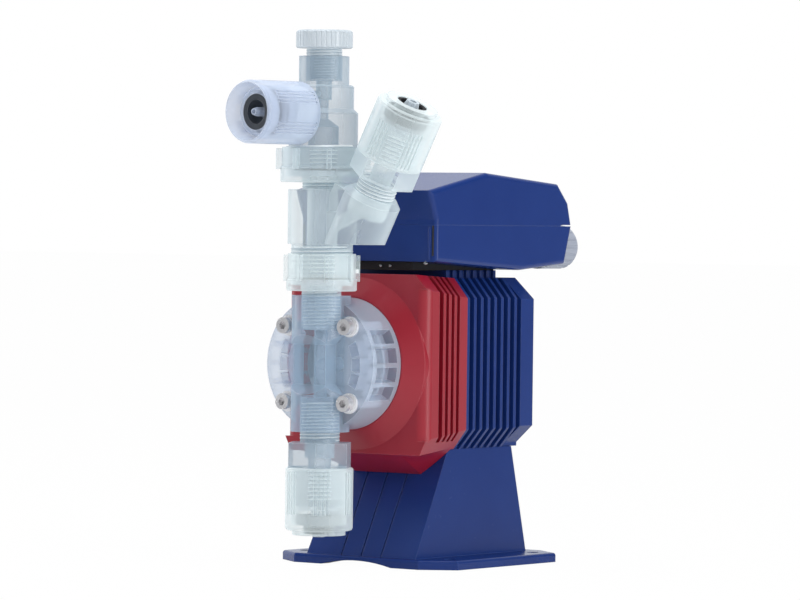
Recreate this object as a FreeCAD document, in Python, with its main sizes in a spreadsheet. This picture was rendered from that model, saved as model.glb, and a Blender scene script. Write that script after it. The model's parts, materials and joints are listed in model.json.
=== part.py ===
import FreeCAD, Part
import math
import os
import Sketcher

# A solenoid-driven diaphragm metering pump, in millimetres.
# The origin is on the underside of the base, at the centre of its four mounting holes. The liquid end faces -Y.

os.makedirs("parts", exist_ok=True)
Vector = FreeCAD.Vector
Rotation = FreeCAD.Rotation
doc = FreeCAD.newDocument("diaphragm_metering_pump")

# Driving sizes, each under a name of its own
SIZES = {
    # base plate and pedestal
    "base_width": 116.4,
    "base_depth": 114.4,
    "base_thick": 5.0,
    "base_corner_x": 17.1,
    "base_corner_y": 12.2,
    "base_edge_round": 1.5,
    "cut_past": 3.0,
    "arch_half_width": 23.0,
    "arch_rise": 2.8,
    "mount_spacing_x": 96.0,
    "mount_spacing_y": 76.0,
    "mount_hole_radius": 3.3,
    "foot_half_width": 36.0,
    "foot_front": 53.3,
    "foot_rear": 48.8,
    "top_half_width": 34.0,
    "top_front": 22.0,
    "top_rear": 36.4,
    "pedestal_top": 62.0,
    "pedestal_wall": 3.5,
    "front_groove_pitch": 13.0,
    "front_groove_width": 0.9,
    "front_groove_depth": 0.8,
    # drive axis and solenoid housing
    "axis_height": 107.5,
    "housing_half_width": 43.4,
    "housing_half_height": 45.5,
    "housing_corner_x": 9.0,
    "housing_corner_y": 10.6,
    "housing_front": 18.6,
    "fin_pitch": 6.2,
    "fin_thick": 2.2,
    "fin_depth": 6.0,
    "end_plate_front": 31.0,
    "end_plate_rear": 42.7,
    "end_corner_x": 12.6,
    "end_corner_y": 11.4,
    "bore_radius": 30.0,
    "bore_end_wall": 4.7,
    "neck_half_width": 27.0,
    "neck_rib_depth": 2.0,
    "neck_rear": 27.7,
    "neck_top": 157.0,
    # front housing
    "flange_front": 26.2,
    "ring_pitch": 5.5,
    "ring_gap": 3.0,
    "plate_rear": 46.8,
    "plate_front": 59.3,
    "plate_half_width": 46.6,
    "plate_half_height": 47.5,
    "plate_corner_x": 8.0,
    "plate_corner_y": 8.0,
    "plate_edge_round": 6.0,
    "ring_depth": 6.0,
    "chin_half_width": 18.6,
    "chin_bottom": 44.5,
    "chin_facet_half_width": 30.0,
    "cone_base_radius": 45.6,
    "cone_top_radius": 35.8,
    "cone_front": 66.3,
    "front_wall_rear": 46.0,
    # pump head
    "head_radius": 35.0,
    "head_front": 90.4,
    "head_flange_thick": 3.2,
    "window_depth": 5.5,
    "window_half_angle": 6.5,
    "window_step_angle": 17.0,
    "pocket_inner_radius": 21.0,
    "pocket_outer_radius": 26.5,
    "pocket_half_angle": 8.5,
    "pocket_step_angle": 20.0,
    "pocket_depth": 9.0,
    "column_reach": 89.6,
    "port_radius": 15.5,
    "port_front": 105.1,
    "hub_front": 99.3,
    "hub_half_width": 10.5,
    "hub_half_height": 16.5,
    "hub_slope": 6.0,
    "head_bottom": 72.2,
    "head_top": 143.6,
    "socket_depth": 18.0,
    "port_thread_radius": 10.5,
    "passage_radius": 3.5,
    "chamber_radius": 20.0,
    "chamber_depth": 4.5,
    "bolt_spacing": 40.0,
    "bolt_radius": 2.5,
    "bolt_head_radius": 4.25,
    "bolt_head_length": 5.0,
    "bolt_seat": 91.9,
    "bolt_end": 54.0,
    "bolt_hole_clearance": 0.25,
    "hex_key_radius": 2.3,
    "hex_key_depth": 2.6,
    "washer_radius": 5.4,
    "spotface_radius": 6.0,
    # diaphragm, shaft and solenoid
    "diaphragm_radius": 25.0,
    "diaphragm_thick": 2.0,
    "core_radius": 12.0,
    "core_length": 5.0,
    "web_gap": 0.3,
    "shaft_radius": 5.0,
    "shaft_play": 0.05,
    "bush_radius": 8.0,
    "bush_length": 12.0,
    "plunger_radius": 16.0,
    "plunger_front": 14.0,
    "plunger_rear": -29.5,
    "plunger_play": 0.3,
    "pole_gap": 1.6,
    "pole_front": 24.0,
    "pole_hole_radius": 11.5,
    "yoke_wall": 2.0,
    "yoke_base": 5.0,
    "bobbin_wall": 1.2,
    "bobbin_flange_radius": 27.0,
    "winding_radius": 25.5,
    "damper_radius": 12.0,
    "damper_rest_gap": 0.3,
    "spring_radius": 9.0,
    "spring_wire_radius": 1.0,
    "spring_turns": 6.0,
    # threads, nuts and hose fittings
    "hex_across_flats": 30.8,
    "hex_bottom": 53.4,
    "hex_top": 66.5,
    "thread_clearance": 0.15,
    "adapter_bore_radius": 8.0,
    "nut_radius": 17.8,
    "nut_length": 33.0,
    "discharge_nut_length": 30.4,
    "nut_lip_radius": 14.0,
    "nut_lip_length": 2.4,
    "nut_mouth_radius": 8.3,
    "nut_front_wall": 3.0,
    "nut_cavity_radius": 14.6,
    "nut_grip_depth": 0.9,
    "nut_grip_start": 2.0,
    "nut_grip_step": 7.0,
    "nut_thread_radius": 14.4,
    "nut_collar_length": 8.5,
    "clamp_nose_length": 1.5,
    "spigot_length": 20.0,
    "discharge_spigot_length": 17.4,
    "nozzle_radius": 4.0,
    "nozzle_bore_radius": 2.0,
    "nozzle_flange_radius": 11.0,
    "nozzle_flange_thick": 2.5,
    "nozzle_length": 14.0,
    "vent_nozzle_radius": 2.4,
    "vent_nozzle_bore": 1.2,
    "vent_nozzle_length": 15.9,
    "vent_mouth_radius": 9.4,
    "vent_nut_length": 38.3,
    "vent_nut_radius": 16.5,
    "vent_cavity_radius": 14.0,
    "vent_dish_radius": 15.0,
    "vent_dish_depth": 11.2,
    "vent_boss_radius": 12.4,
    "vent_boss_height": 4.3,
    "vent_spigot_length": 14.8,
    "vent_spigot_radius": 13.8,
    "hose_bore_radius": 6.0,
    "suction_hex_length": 13.1,
    "clamp_radius": 12.0,
    "clamp_bore_radius": 6.3,
    "clamp_length": 5.0,
    # union nuts
    "union_bottom": 145.9,
    "union_band_top": 151.9,
    "union_top": 165.5,
    "union_wall": 3.0,
    "union_flange_thick": 3.0,
    "union_wing_half_width": 1.1,
    "gasket_outer_radius": 15.0,
    "gasket_inner_radius": 9.0,
    "gasket_thick": 1.0,
    "union_radius": 18.5,
    "union_wing_reach": 1.6,
    "union_thread_radius": 16.15,
    "upper_union_bottom": 202.8,
    "upper_union_band_top": 210.5,
    "upper_union_top": 221.1,
    "upper_union_radius": 22.3,
    "upper_union_wing_reach": 2.5,
    "upper_thread_radius": 19.4,
    # branch body and vent body
    "branch_body_bottom": 170.4,
    "branch_body_top": 199.0,
    "branch_body_radius": 18.1,
    "upper_neck_radius": 10.6,
    "branch_tilt": 27.0,
    "branch_nut_x": 42.8,
    "branch_nut_z": 214.8,
    "branch_hex_length": 11.0,
    "branch_neck_length": 8.8,
    "branch_boss_radius": 15.5,
    "branch_boss_round": 3.0,
    "branch_boss_length": 45.0,
    "branch_thread_length": 11.0,
    "branch_web_inset": 14.0,
    "branch_block_reach": 17.5,
    "branch_block_half_width": 12.0,
    "branch_web_half_width": 13.0,
    "branch_web_height": 17.0,
    "passage_rise": 6.0,
    "passage_pitch": 65.0,
    "vent_body_radius": 13.2,
    "vent_body_top_rise": 47.7,
    "vent_shoulder_rise": 32.5,
    "vent_lug_reach": 18.1,
    "vent_lug_upper_reach": 15.8,
    "vent_lug_step_rise": 18.9,
    "vent_outlet_height_rise": 17.5,
    "vent_outlet_swing": 7.0,
    "vent_nut_start": 18.6,
    "vent_neck_radius": 9.5,
    "vent_socket_radius": 12.5,
    "vent_channel_radius": 1.5,
    "vent_spindle_radius": 9.3,
    "vent_bore_radius": 9.6,
    "vent_knob_bottom_rise": 51.9,
    "vent_knob_top_rise": 61.3,
    "vent_knob_radius": 14.85,
    "vent_plug_radius": 4.0,
    "vent_plug_play": 0.1,
    "vent_seat_rise": 24.9,
    "vent_seat_gap": 0.05,
    "vent_bore_floor_rise": 34.9,
    "vent_knurl_radius": 0.4,
    # valve cartridges
    "valve_radius": 7.8,
    "valve_seat_radius": 3.0,
    "valve_seat_length": 2.5,
    "valve_chamber_radius": 5.2,
    "valve_stop_radius": 3.6,
    "valve_stop_length": 1.6,
    "valve_slot_half": 1.2,
    "valve_play": 0.05,
    "ball_radius": 4.5,
    "ball_lift": 1.2,
    "ball_rest_gap": 0.02,
    "suction_valves_bottom": 58.5,
    # control unit
    "case_half_width": 45.0,
    "case_front": 49.5,
    "case_front_bottom_rise": 4.7,
    "case_step_height_rise": 26.9,
    "case_brow_front": 55.7,
    "case_brow_height_rise": 42.2,
    "case_peak_front": 3.8,
    "case_peak_height_rise": 52.2,
    "case_rear_top_y": 63.0,
    "case_rear_top_rise": 47.0,
    "case_tail_y": 76.4,
    "case_shoulder_y": 72.8,
    "case_shoulder_rise": 37.0,
    "case_split_rise": 24.1,
    "case_slit": 0.7,
    "case_tail_bottom_y": 70.0,
    "case_tail_bottom_rise": 3.6,
    "case_keel_y": 29.3,
    "case_keel_height_rise": 0.3,
    "case_wall": 2.6,
    "case_edge_round": 2.5,
    "cheek_thick": 3.6,
    "panel_y": 65.0,
    "panel_thick": 2.5,
    "panel_floor_rise": 6.6,
    "panel_head_rise": 39.5,
    "knob_x": 28.5,
    "knob_height_rise": 12.8,
    "knob_radius": 12.0,
    "knob_length": 26.1,
    "knob_flute_radius": 1.0,
    "knob_gap": 0.5,
    "knob_shaft_radius": 3.0,
    "knob_shaft_play": 0.1,
    "control_body_radius": 6.0,
    "control_body_length": 8.0,
    "display_width": 34.0,
    "display_height": 13.0,
    "display_thick": 1.6,
    "display_x": -17.0,
    "display_z_rise": 31.0,
    "key_width": 8.0,
    "key_height": 4.8,
    "key_length": 4.4,
    "key_height_above": 1.4,
    "key_gap": 0.25,
    "key_travel": 0.6,
    "key_pitch": 14.0,
    "key_first_x": 12.0,
    "key_row_z_rise": 35.6,
    "key_row_step": 6.8,
    "board_thick": 1.6,
    "gland_radius": 7.5,
    "gland_x": -30.0,
    "gland_z_rise": 15.5,
    "gland_bore_radius": 3.5,
    "gland_length": 10.0,
    "gland_thread_radius": 5.5,
    "socket_bore_radius": 3.5,
    "socket_radius": 6.0,
    "socket_x": -10.0,
    "socket_length": 8.0,
}

# Heights that follow from the neck that carries the control unit, or from the upper union nut
DERIVED = {
    "case_front_bottom": "=neck_top + case_front_bottom_rise",
    "case_step_height": "=neck_top + case_step_height_rise",
    "case_brow_height": "=neck_top + case_brow_height_rise",
    "case_peak_height": "=neck_top + case_peak_height_rise",
    "case_rear_top": "=neck_top + case_rear_top_rise",
    "case_shoulder": "=neck_top + case_shoulder_rise",
    "case_split": "=neck_top + case_split_rise",
    "case_tail_bottom": "=neck_top + case_tail_bottom_rise",
    "case_keel_height": "=neck_top + case_keel_height_rise",
    "panel_floor": "=neck_top + panel_floor_rise",
    "panel_head": "=neck_top + panel_head_rise",
    "knob_height": "=neck_top + knob_height_rise",
    "display_z": "=neck_top + display_z_rise",
    "key_row_z": "=neck_top + key_row_z_rise",
    "gland_z": "=neck_top + gland_z_rise",
    "vent_outlet_height": "=upper_union_top + vent_outlet_height_rise",
    "vent_lug_step": "=upper_union_top + vent_lug_step_rise",
    "vent_shoulder": "=upper_union_top + vent_shoulder_rise",
    "vent_body_top": "=upper_union_top + vent_body_top_rise",
    "vent_seat": "=upper_union_top + vent_seat_rise",
    "vent_bore_floor": "=upper_union_top + vent_bore_floor_rise",
    "vent_knob_bottom": "=upper_union_top + vent_knob_bottom_rise",
    "vent_knob_top": "=upper_union_top + vent_knob_top_rise",
}

dims = doc.addObject("Spreadsheet::Sheet", "dims")
for row, (alias, size) in enumerate({**SIZES, **DERIVED}.items(), start=1):
    dims.set(f"A{row}", alias)
    dims.set(f"B{row}", str(size))
    dims.setAlias(f"B{row}", alias)
doc.recompute()

PIECES = []


# Shared construction helpers. A size is an expression in the sheet's aliases, each written after "dims."


def measure(expression):
    """The number that an expression gives."""
    return float(dims.evalExpression(expression))


def stand(piece, x="0", y="0", z="0", yaw="0", pitch="0", roll="0"):
    """Ties a piece's position and its turns about Z, Y and X to expressions."""
    position = f"create(<<vector>>; {x}; {y}; {z})"
    attitude = f"create(<<rotation>>; {yaw}; {pitch}; {roll})"
    piece.setExpression("Placement", f"create(<<placement>>; {position}; {attitude})")


def new_body(label, **where):
    """A body that becomes a piece of its own."""
    piece = doc.addObject("PartDesign::Body", label)
    piece.Label = label
    stand(piece, **where)
    PIECES.append(piece)
    return piece


def axis_body(label, x="0", z="dims.axis_height"):
    """A body whose own Z points forward along the drive axis and whose own Y points up."""
    return new_body(label, x=x, z=z, roll="90")


def column_body(label):
    """A body on the upright axis of the valves, with its heights measured from the base."""
    return new_body(label, y="-dims.column_reach")


def sketch_on(piece, plane="XY_Plane", offset="0"):
    """A sketch on one of the body's own planes, moved along that plane's normal."""
    sketch = piece.newObject("Sketcher::SketchObject", f"{piece.Name}_sketch")
    origin_plane = next(item for item in piece.Origin.OriginFeatures if item.Role == plane)
    sketch.AttachmentSupport = [(origin_plane, "")]
    sketch.MapMode = "FlatFace"
    sketch.setExpression("AttachmentOffset.Base.z", offset)
    return sketch


def pin(sketch, geometry, vertex, x, y):
    """Holds a vertex at a point given as two expressions."""
    for kind, expression in (("DistanceX", x), ("DistanceY", y)):
        held = Sketcher.Constraint(kind, -1, 1, geometry, vertex, measure(expression))
        number = sketch.addConstraint(held)
        sketch.setExpression(f"Constraints[{number}]", expression)


def outline(sketch, points):
    """A closed outline of straight edges through points given as pairs of expressions."""
    corners = [Vector(measure(x), measure(y), 0) for x, y in points]
    edges = []
    for start, end in zip(corners, corners[1:] + corners[:1]):
        edges.append(sketch.addGeometry(Part.LineSegment(start, end), False))
    for index, (x, y) in enumerate(points):
        following = edges[(index + 1) % len(edges)]
        sketch.addConstraint(Sketcher.Constraint("Coincident", edges[index], 2, following, 1))
        pin(sketch, edges[index], 1, x, y)


def circle(sketch, radius, x="0", y="0"):
    """A circle with its radius and centre held."""
    centre = Vector(measure(x), measure(y), 0)
    edge = sketch.addGeometry(Part.Circle(centre, Vector(0, 0, 1), measure(radius)), False)
    number = sketch.addConstraint(Sketcher.Constraint("Radius", edge, measure(radius)))
    sketch.setExpression(f"Constraints[{number}]", radius)
    pin(sketch, edge, 3, x, y)


def rectangle(sketch, x_low, x_high, y_low, y_high):
    """A rectangle between two pairs of expressions."""
    outline(sketch, [(x_low, y_low), (x_high, y_low), (x_high, y_high), (x_low, y_high)])


def mirrored(points):
    """Points of one side, then the same points in turn on the other side of the upright axis."""
    return points + [(f"-({x})", y) for x, y in reversed(points)]


def octagon(half_width, half_height, corner_x, corner_y):
    """A rectangle with four cut corners, round the origin."""
    inner = f"{half_width} - {corner_x}"
    elbow = f"{half_height} - {corner_y}"
    low_elbow = f"-({elbow})"
    low = f"-({half_height})"
    return mirrored([(inner, half_height), (half_width, elbow), (half_width, low_elbow), (inner, low)])


def corner_cut(sketch, side, x, y, radius):
    """The waste outside a rounded corner whose two faces lie at x and y, on the right (1) or the left (-1)."""
    reach = f"{side} * ({x})"
    centre_x = f"{side} * ({x} - {radius})"
    centre_y = f"{y} - {radius}"
    beyond_x = f"{side} * ({x} + dims.cut_past)"
    beyond_y = f"{y} + dims.cut_past"
    centre = Vector(measure(centre_x), measure(centre_y), 0)
    start, end = (0, math.pi / 2) if side > 0 else (math.pi / 2, math.pi)
    round_part = Part.ArcOfCircle(Part.Circle(centre, Vector(0, 0, 1), measure(radius)), start, end)
    arc = sketch.addGeometry(round_part, False)
    flank_vertex, crown_vertex = (1, 2) if side > 0 else (2, 1)
    low = Vector(measure(beyond_x), centre.y, 0)
    high = Vector(measure(beyond_x), measure(beyond_y), 0)
    inner = Vector(centre.x, high.y, 0)
    flank = sketch.addGeometry(Part.LineSegment(Vector(measure(reach), centre.y, 0), low), False)
    outside = sketch.addGeometry(Part.LineSegment(low, high), False)
    above = sketch.addGeometry(Part.LineSegment(high, inner), False)
    crown = sketch.addGeometry(Part.LineSegment(inner, Vector(centre.x, measure(y), 0)), False)
    for first, first_vertex, second, second_vertex in (
        (arc, flank_vertex, flank, 1),
        (flank, 2, outside, 1),
        (outside, 2, above, 1),
        (above, 2, crown, 1),
        (crown, 2, arc, crown_vertex),
    ):
        sketch.addConstraint(Sketcher.Constraint("Coincident", first, first_vertex, second, second_vertex))
    pin(sketch, arc, 3, centre_x, centre_y)
    pin(sketch, outside, 1, beyond_x, centre_y)
    pin(sketch, outside, 2, beyond_x, beyond_y)
    pin(sketch, crown, 1, centre_x, beyond_y)
    sketch.addConstraint(Sketcher.Constraint("Horizontal", flank))
    sketch.addConstraint(Sketcher.Constraint("Vertical", crown))
    number = sketch.addConstraint(Sketcher.Constraint("Radius", arc, measure(radius)))
    sketch.setExpression(f"Constraints[{number}]", radius)


def extrude(piece, sketch, length, kind="Pad", backward=False, middle=False):
    """A pad or pocket of a given length."""
    feature = piece.newObject(f"PartDesign::{kind}", f"{piece.Name}_{kind.lower()}")
    feature.Profile = sketch
    feature.SideType = "Symmetric" if middle else "One side"
    feature.Reversed = backward
    feature.setExpression("Length", length)
    return feature


def turn(piece, points, kind="Revolution"):
    """Turns an outline of (radius, height) points about the body's own Z."""
    sketch = sketch_on(piece, "XZ_Plane")
    outline(sketch, points)
    feature = piece.newObject(f"PartDesign::{kind}", f"{piece.Name}_{kind.lower()}")
    feature.Profile = sketch
    feature.ReferenceAxis = (sketch, ["V_Axis"])
    return feature


def ring_of(piece, feature, count):
    """Copies a feature round the body's own Z."""
    pattern = piece.newObject("PartDesign::PolarPattern", f"{piece.Name}_ring")
    pattern.Originals = [feature]
    pattern.Axis = (next(item for item in piece.Origin.OriginFeatures if item.Role == "Z_Axis"), [""])
    pattern.Angle = 360
    pattern.Occurrences = count
    piece.Tip = pattern
    return pattern


def round_edges(piece, feature, chosen, radius, kind="Fillet"):
    """Rounds or bevels the edges of a feature that a test picks out."""
    doc.recompute()
    names = [f"Edge{n}" for n, edge in enumerate(feature.Shape.Edges, start=1) if chosen(edge)]
    blend = piece.newObject(f"PartDesign::{kind}", f"{piece.Name}_{kind.lower()}")
    blend.Base = (feature, names)
    blend.setExpression("Radius" if kind == "Fillet" else "Size", radius)
    piece.Tip = blend
    return blend


# Base: a chamfered foot plate with a tapered hollow pedestal, moulded in one

PEDESTAL_RISE = "(dims.pedestal_top - dims.base_thick + dims.base_edge_round)"
FRONT_SLOPE = f"(dims.foot_front - dims.top_front) / {PEDESTAL_RISE}"


def build_base_stand():
    base = new_body("base_stand")
    half_x = "dims.base_width / 2"
    half_y = "dims.base_depth / 2"
    plate_sketch = sketch_on(base)
    outline(plate_sketch, octagon(half_x, half_y, "dims.base_corner_x", "dims.base_corner_y"))
    plate = extrude(base, plate_sketch, "dims.base_thick")
    thick = measure("dims.base_thick")
    round_edges(base, plate, lambda edge: abs(edge.BoundBox.ZMin - thick) < 0.01, "dims.base_edge_round")

    pedestal = base.newObject("PartDesign::AdditiveLoft", "pedestal")
    foot = sketch_on(base, offset="dims.base_thick - dims.base_edge_round")
    rectangle(foot, "-dims.foot_half_width", "dims.foot_half_width", "-dims.foot_front", "dims.foot_rear")
    top = sketch_on(base, offset="dims.pedestal_top")
    rectangle(top, "-dims.top_half_width", "dims.top_half_width", "-dims.top_front", "dims.top_rear")
    pedestal.Profile = foot
    pedestal.Sections = [top]
    pedestal.Ruled = True

    hollow = base.newObject("PartDesign::SubtractiveLoft", "pedestal_hollow")
    wall = "dims.pedestal_wall"
    hollow_foot = sketch_on(base)
    rectangle(
        hollow_foot,
        f"-(dims.foot_half_width - {wall})",
        f"dims.foot_half_width - {wall}",
        f"-(dims.foot_front - {wall})",
        f"dims.foot_rear - {wall}",
    )
    hollow_top = sketch_on(base, offset=f"dims.pedestal_top - {wall}")
    rectangle(
        hollow_top,
        f"-(dims.top_half_width - {wall})",
        f"dims.top_half_width - {wall}",
        f"-(dims.top_front - {wall})",
        f"dims.top_rear - {wall}",
    )
    hollow.Profile = hollow_foot
    hollow.Sections = [hollow_top]
    hollow.Ruled = True

    low = "dims.base_thick - dims.base_edge_round"
    high = "dims.pedestal_top"
    for step in (-1, 0, 1):
        groove_sketch = sketch_on(base, "YZ_Plane", f"{step} * dims.front_groove_pitch")
        outline(
            groove_sketch,
            [
                ("-dims.foot_front - dims.cut_past", "dims.base_thick"),
                (f"-dims.foot_front + {FRONT_SLOPE} * dims.base_edge_round + dims.front_groove_depth", "dims.base_thick"),
                ("-dims.top_front + dims.front_groove_depth", high),
                ("-dims.foot_front - dims.cut_past", high),
            ],
        )
        extrude(base, groove_sketch, "dims.front_groove_width", "Pocket", middle=True)

    arch_radius = "((dims.arch_half_width ^ 2 + dims.arch_rise ^ 2) / (2 * dims.arch_rise))"
    arch_sketch = sketch_on(base, "XZ_Plane")
    circle(arch_sketch, arch_radius, "0", f"dims.arch_rise - {arch_radius}")
    extrude(base, arch_sketch, "dims.base_depth + 2", "Pocket", middle=True)

    holes = sketch_on(base)
    for side in ("", "-"):
        for end in ("", "-"):
            circle(holes, "dims.mount_hole_radius", f"{side}dims.mount_spacing_x / 2", f"{end}dims.mount_spacing_y / 2")
    base.Tip = extrude(base, holes, "dims.base_thick + 1", "Pocket", backward=True)


# Solenoid housing: eight cooling fins, a thick end plate and a ribbed neck that carries the control unit


def build_solenoid_housing():
    housing = axis_body("solenoid_housing")
    half_width = "dims.housing_half_width"
    half_height = "dims.housing_half_height"
    core_sketch = sketch_on(housing, offset="-dims.end_plate_rear")
    side = f"({half_width} - dims.fin_depth)"
    crown = f"{half_height} - dims.fin_depth"
    elbow = f"{half_height} - dims.housing_corner_y - 2"
    sole = f"-{half_height}"
    foot = "dims.top_half_width - 1"
    core_points = [
        (f"{side} - dims.housing_corner_x + 2", crown),
        (side, elbow),
        (side, f"-({elbow})"),
        (foot, f"{sole} + 4"),
        (foot, sole),
    ]
    outline(core_sketch, mirrored(core_points))
    extrude(housing, core_sketch, "dims.end_plate_rear + dims.housing_front")

    fin_outline = octagon(half_width, half_height, "dims.housing_corner_x", "dims.housing_corner_y")
    fin_sketch = sketch_on(housing, offset="dims.housing_front")
    outline(fin_sketch, fin_outline)
    fin = extrude(housing, fin_sketch, "dims.fin_thick", backward=True)
    rib_sketch = sketch_on(housing, offset="dims.housing_front")
    rib_side = "dims.neck_half_width + dims.neck_rib_depth"
    neck_top = "dims.neck_top - dims.axis_height"
    rectangle(rib_sketch, f"-({rib_side})", rib_side, crown, neck_top)
    rib = extrude(housing, rib_sketch, "dims.fin_thick", backward=True)
    fins = housing.newObject("PartDesign::LinearPattern", "cooling_fins")
    fins.Originals = [fin, rib]
    fins.Direction = (next(item for item in housing.Origin.OriginFeatures if item.Role == "Z_Axis"), [""])
    fins.Reversed = True
    fins.Occurrences = 8
    fins.setExpression("Length", "7 * dims.fin_pitch")
    housing.Tip = fins

    end_sketch = sketch_on(housing, offset="-dims.end_plate_front")
    outline(end_sketch, octagon(half_width, half_height, "dims.end_corner_x", "dims.end_corner_y"))
    extrude(housing, end_sketch, "dims.end_plate_rear - dims.end_plate_front", backward=True)

    neck_sketch = sketch_on(housing, offset="-dims.neck_rear")
    rectangle(neck_sketch, "-dims.neck_half_width", "dims.neck_half_width", crown, neck_top)
    extrude(housing, neck_sketch, "dims.neck_rear + dims.housing_front")

    bore_sketch = sketch_on(housing, offset="-(dims.end_plate_rear - dims.bore_end_wall)")
    circle(bore_sketch, "dims.bore_radius + 0.05")
    bore_length = "dims.end_plate_rear - dims.bore_end_wall + dims.housing_front + 1"
    housing.Tip = extrude(housing, bore_sketch, bore_length, "Pocket", backward=True)


# Front housing: flared rings between a flange and a rounded plate, a chin that laps over the pedestal,
# and a conical boss that carries the pump head


def build_front_housing():
    front = axis_body("front_housing")
    rear_sketch = sketch_on(front, offset="dims.housing_front")
    half_width = "dims.housing_half_width"
    half_height = "dims.housing_half_height"
    chin_low = "dims.chin_bottom - dims.axis_height"
    rear_points = [
        (f"{half_width} - dims.housing_corner_x", half_height),
        (half_width, f"{half_height} - dims.housing_corner_y"),
        (half_width, f"-({half_height} - dims.housing_corner_y)"),
        ("dims.top_half_width + 1.9", f"-{half_height} + 1"),
        ("dims.chin_half_width", chin_low),
    ]
    outline(rear_sketch, mirrored(rear_points))
    wide = "dims.plate_half_width"
    tall = "dims.plate_half_height"
    plate_points = [
        (f"{wide} - dims.plate_corner_x", tall),
        (wide, f"{tall} - dims.plate_corner_y"),
        (wide, f"-({tall} - dims.plate_corner_y)"),
        (f"{wide} - dims.plate_corner_x / 2", f"-{tall}"),
        ("dims.chin_facet_half_width", f"-{tall}"),
    ]
    front_sketch = sketch_on(front, offset="dims.plate_front")
    outline(front_sketch, mirrored(plate_points))
    shell = front.newObject("PartDesign::AdditiveLoft", "front_shell")
    shell.Profile = rear_sketch
    shell.Sections = [front_sketch]
    shell.Ruled = True

    round_over = "dims.plate_edge_round"
    for side in (1, -1):
        corner = sketch_on(front, "XZ_Plane")
        corner_cut(corner, side, "dims.plate_half_width - 0.4", "dims.plate_front", round_over)
        extrude(front, corner, f"2 * ({tall} - dims.plate_corner_y) + 1", "Pocket", middle=True)

    core_side = "(dims.housing_half_width - dims.ring_depth)"
    core_top = "(dims.housing_half_height - dims.ring_depth)"
    outer = "dims.plate_half_width + 5"
    slot_low = "-(dims.housing_half_height - dims.housing_corner_y) - 6"
    slot_points = [
        (core_side, slot_low),
        (outer, slot_low),
        (outer, outer + " + 5"),
    ]
    inner_points = [
        (f"{core_side} - dims.housing_corner_x + 3", core_top),
        (core_side, f"{core_top} - dims.housing_corner_y + 3"),
    ]
    arch = slot_points + [(f"-({x})", y) for x, y in reversed(slot_points)]
    arch += [(f"-({x})", y) for x, y in reversed(inner_points)] + inner_points
    gap_starts = [
        "dims.flange_front",
        "dims.flange_front + dims.ring_pitch",
        "dims.flange_front + 2 * dims.ring_pitch",
        "dims.flange_front + 3 * dims.ring_pitch",
    ]
    for index, start in enumerate(gap_starts):
        slot = sketch_on(front, offset=start)
        outline(slot, arch)
        width = "dims.ring_gap" if index < 3 else f"dims.plate_rear - ({start})"
        extrude(front, slot, width, "Pocket", backward=True)

    notch = sketch_on(front, "YZ_Plane")
    sole = "-dims.housing_half_height"
    drop = "(dims.pedestal_top - dims.chin_bottom + 2)"
    outline(
        notch,
        [
            (sole, "0"),
            (sole, "dims.top_front + 0.05"),
            (f"{sole} - {drop}", f"dims.top_front + 0.05 + {drop} * {FRONT_SLOPE}"),
            (f"{sole} - {drop}", "0"),
        ],
    )
    extrude(front, notch, "2 * dims.plate_half_width + 4", "Pocket", middle=True)

    turn(
        front,
        [
            ("0", "dims.plate_front - 6"),
            ("dims.cone_base_radius", "dims.plate_front - 6"),
            ("dims.cone_base_radius", "dims.plate_front"),
            ("dims.cone_top_radius", "dims.cone_front"),
            ("0", "dims.cone_front"),
        ],
    )
    bush_end = "dims.front_wall_rear + dims.bush_length"
    cavity = [
        ("0", "dims.housing_front - 1"),
        ("dims.bore_radius + 0.05", "dims.housing_front - 1"),
        ("dims.bore_radius + 0.05", "dims.pole_front + 0.05"),
        ("dims.spring_radius + 4", "dims.pole_front + 8"),
        ("dims.spring_radius + 4", "dims.front_wall_rear"),
        ("dims.bush_radius", "dims.front_wall_rear"),
        ("dims.bush_radius", bush_end),
        ("dims.core_radius + 3", bush_end),
        ("dims.core_radius + 6", "dims.cone_front + 1"),
        ("0", "dims.cone_front + 1"),
    ]
    turn(front, cavity, "Groove")
    threads = sketch_on(front, offset="dims.cone_front")
    for side in ("", "-"):
        for end in ("", "-"):
            circle(threads, "dims.bolt_radius", f"{side}dims.bolt_spacing / 2", f"{end}dims.bolt_spacing / 2")
    front.Tip = extrude(front, threads, "dims.cone_front - dims.bolt_end + 1", "Pocket")


# Pump head: a clear disc with cored windows round its rim, and the upright port barrel on its face


def spoke_points(inner, outer, centre, half_angle):
    """The four corners of a cut between two radii, a half angle each side of a centre angle."""
    low = f"(({centre}) - ({half_angle})) * 1deg"
    high = f"(({centre}) + ({half_angle})) * 1deg"
    corners = [(inner, low), (outer, low), (outer, high), (inner, high)]
    return [(f"({radius}) * cos({angle})", f"({radius}) * sin({angle})") for radius, angle in corners]


def four_circles(sketch, radius):
    """Circles at the corners of the head's bolt square."""
    for side in ("", "-"):
        for end in ("", "-"):
            circle(sketch, radius, f"{side}dims.bolt_spacing / 2", f"{end}dims.bolt_spacing / 2")


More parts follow.
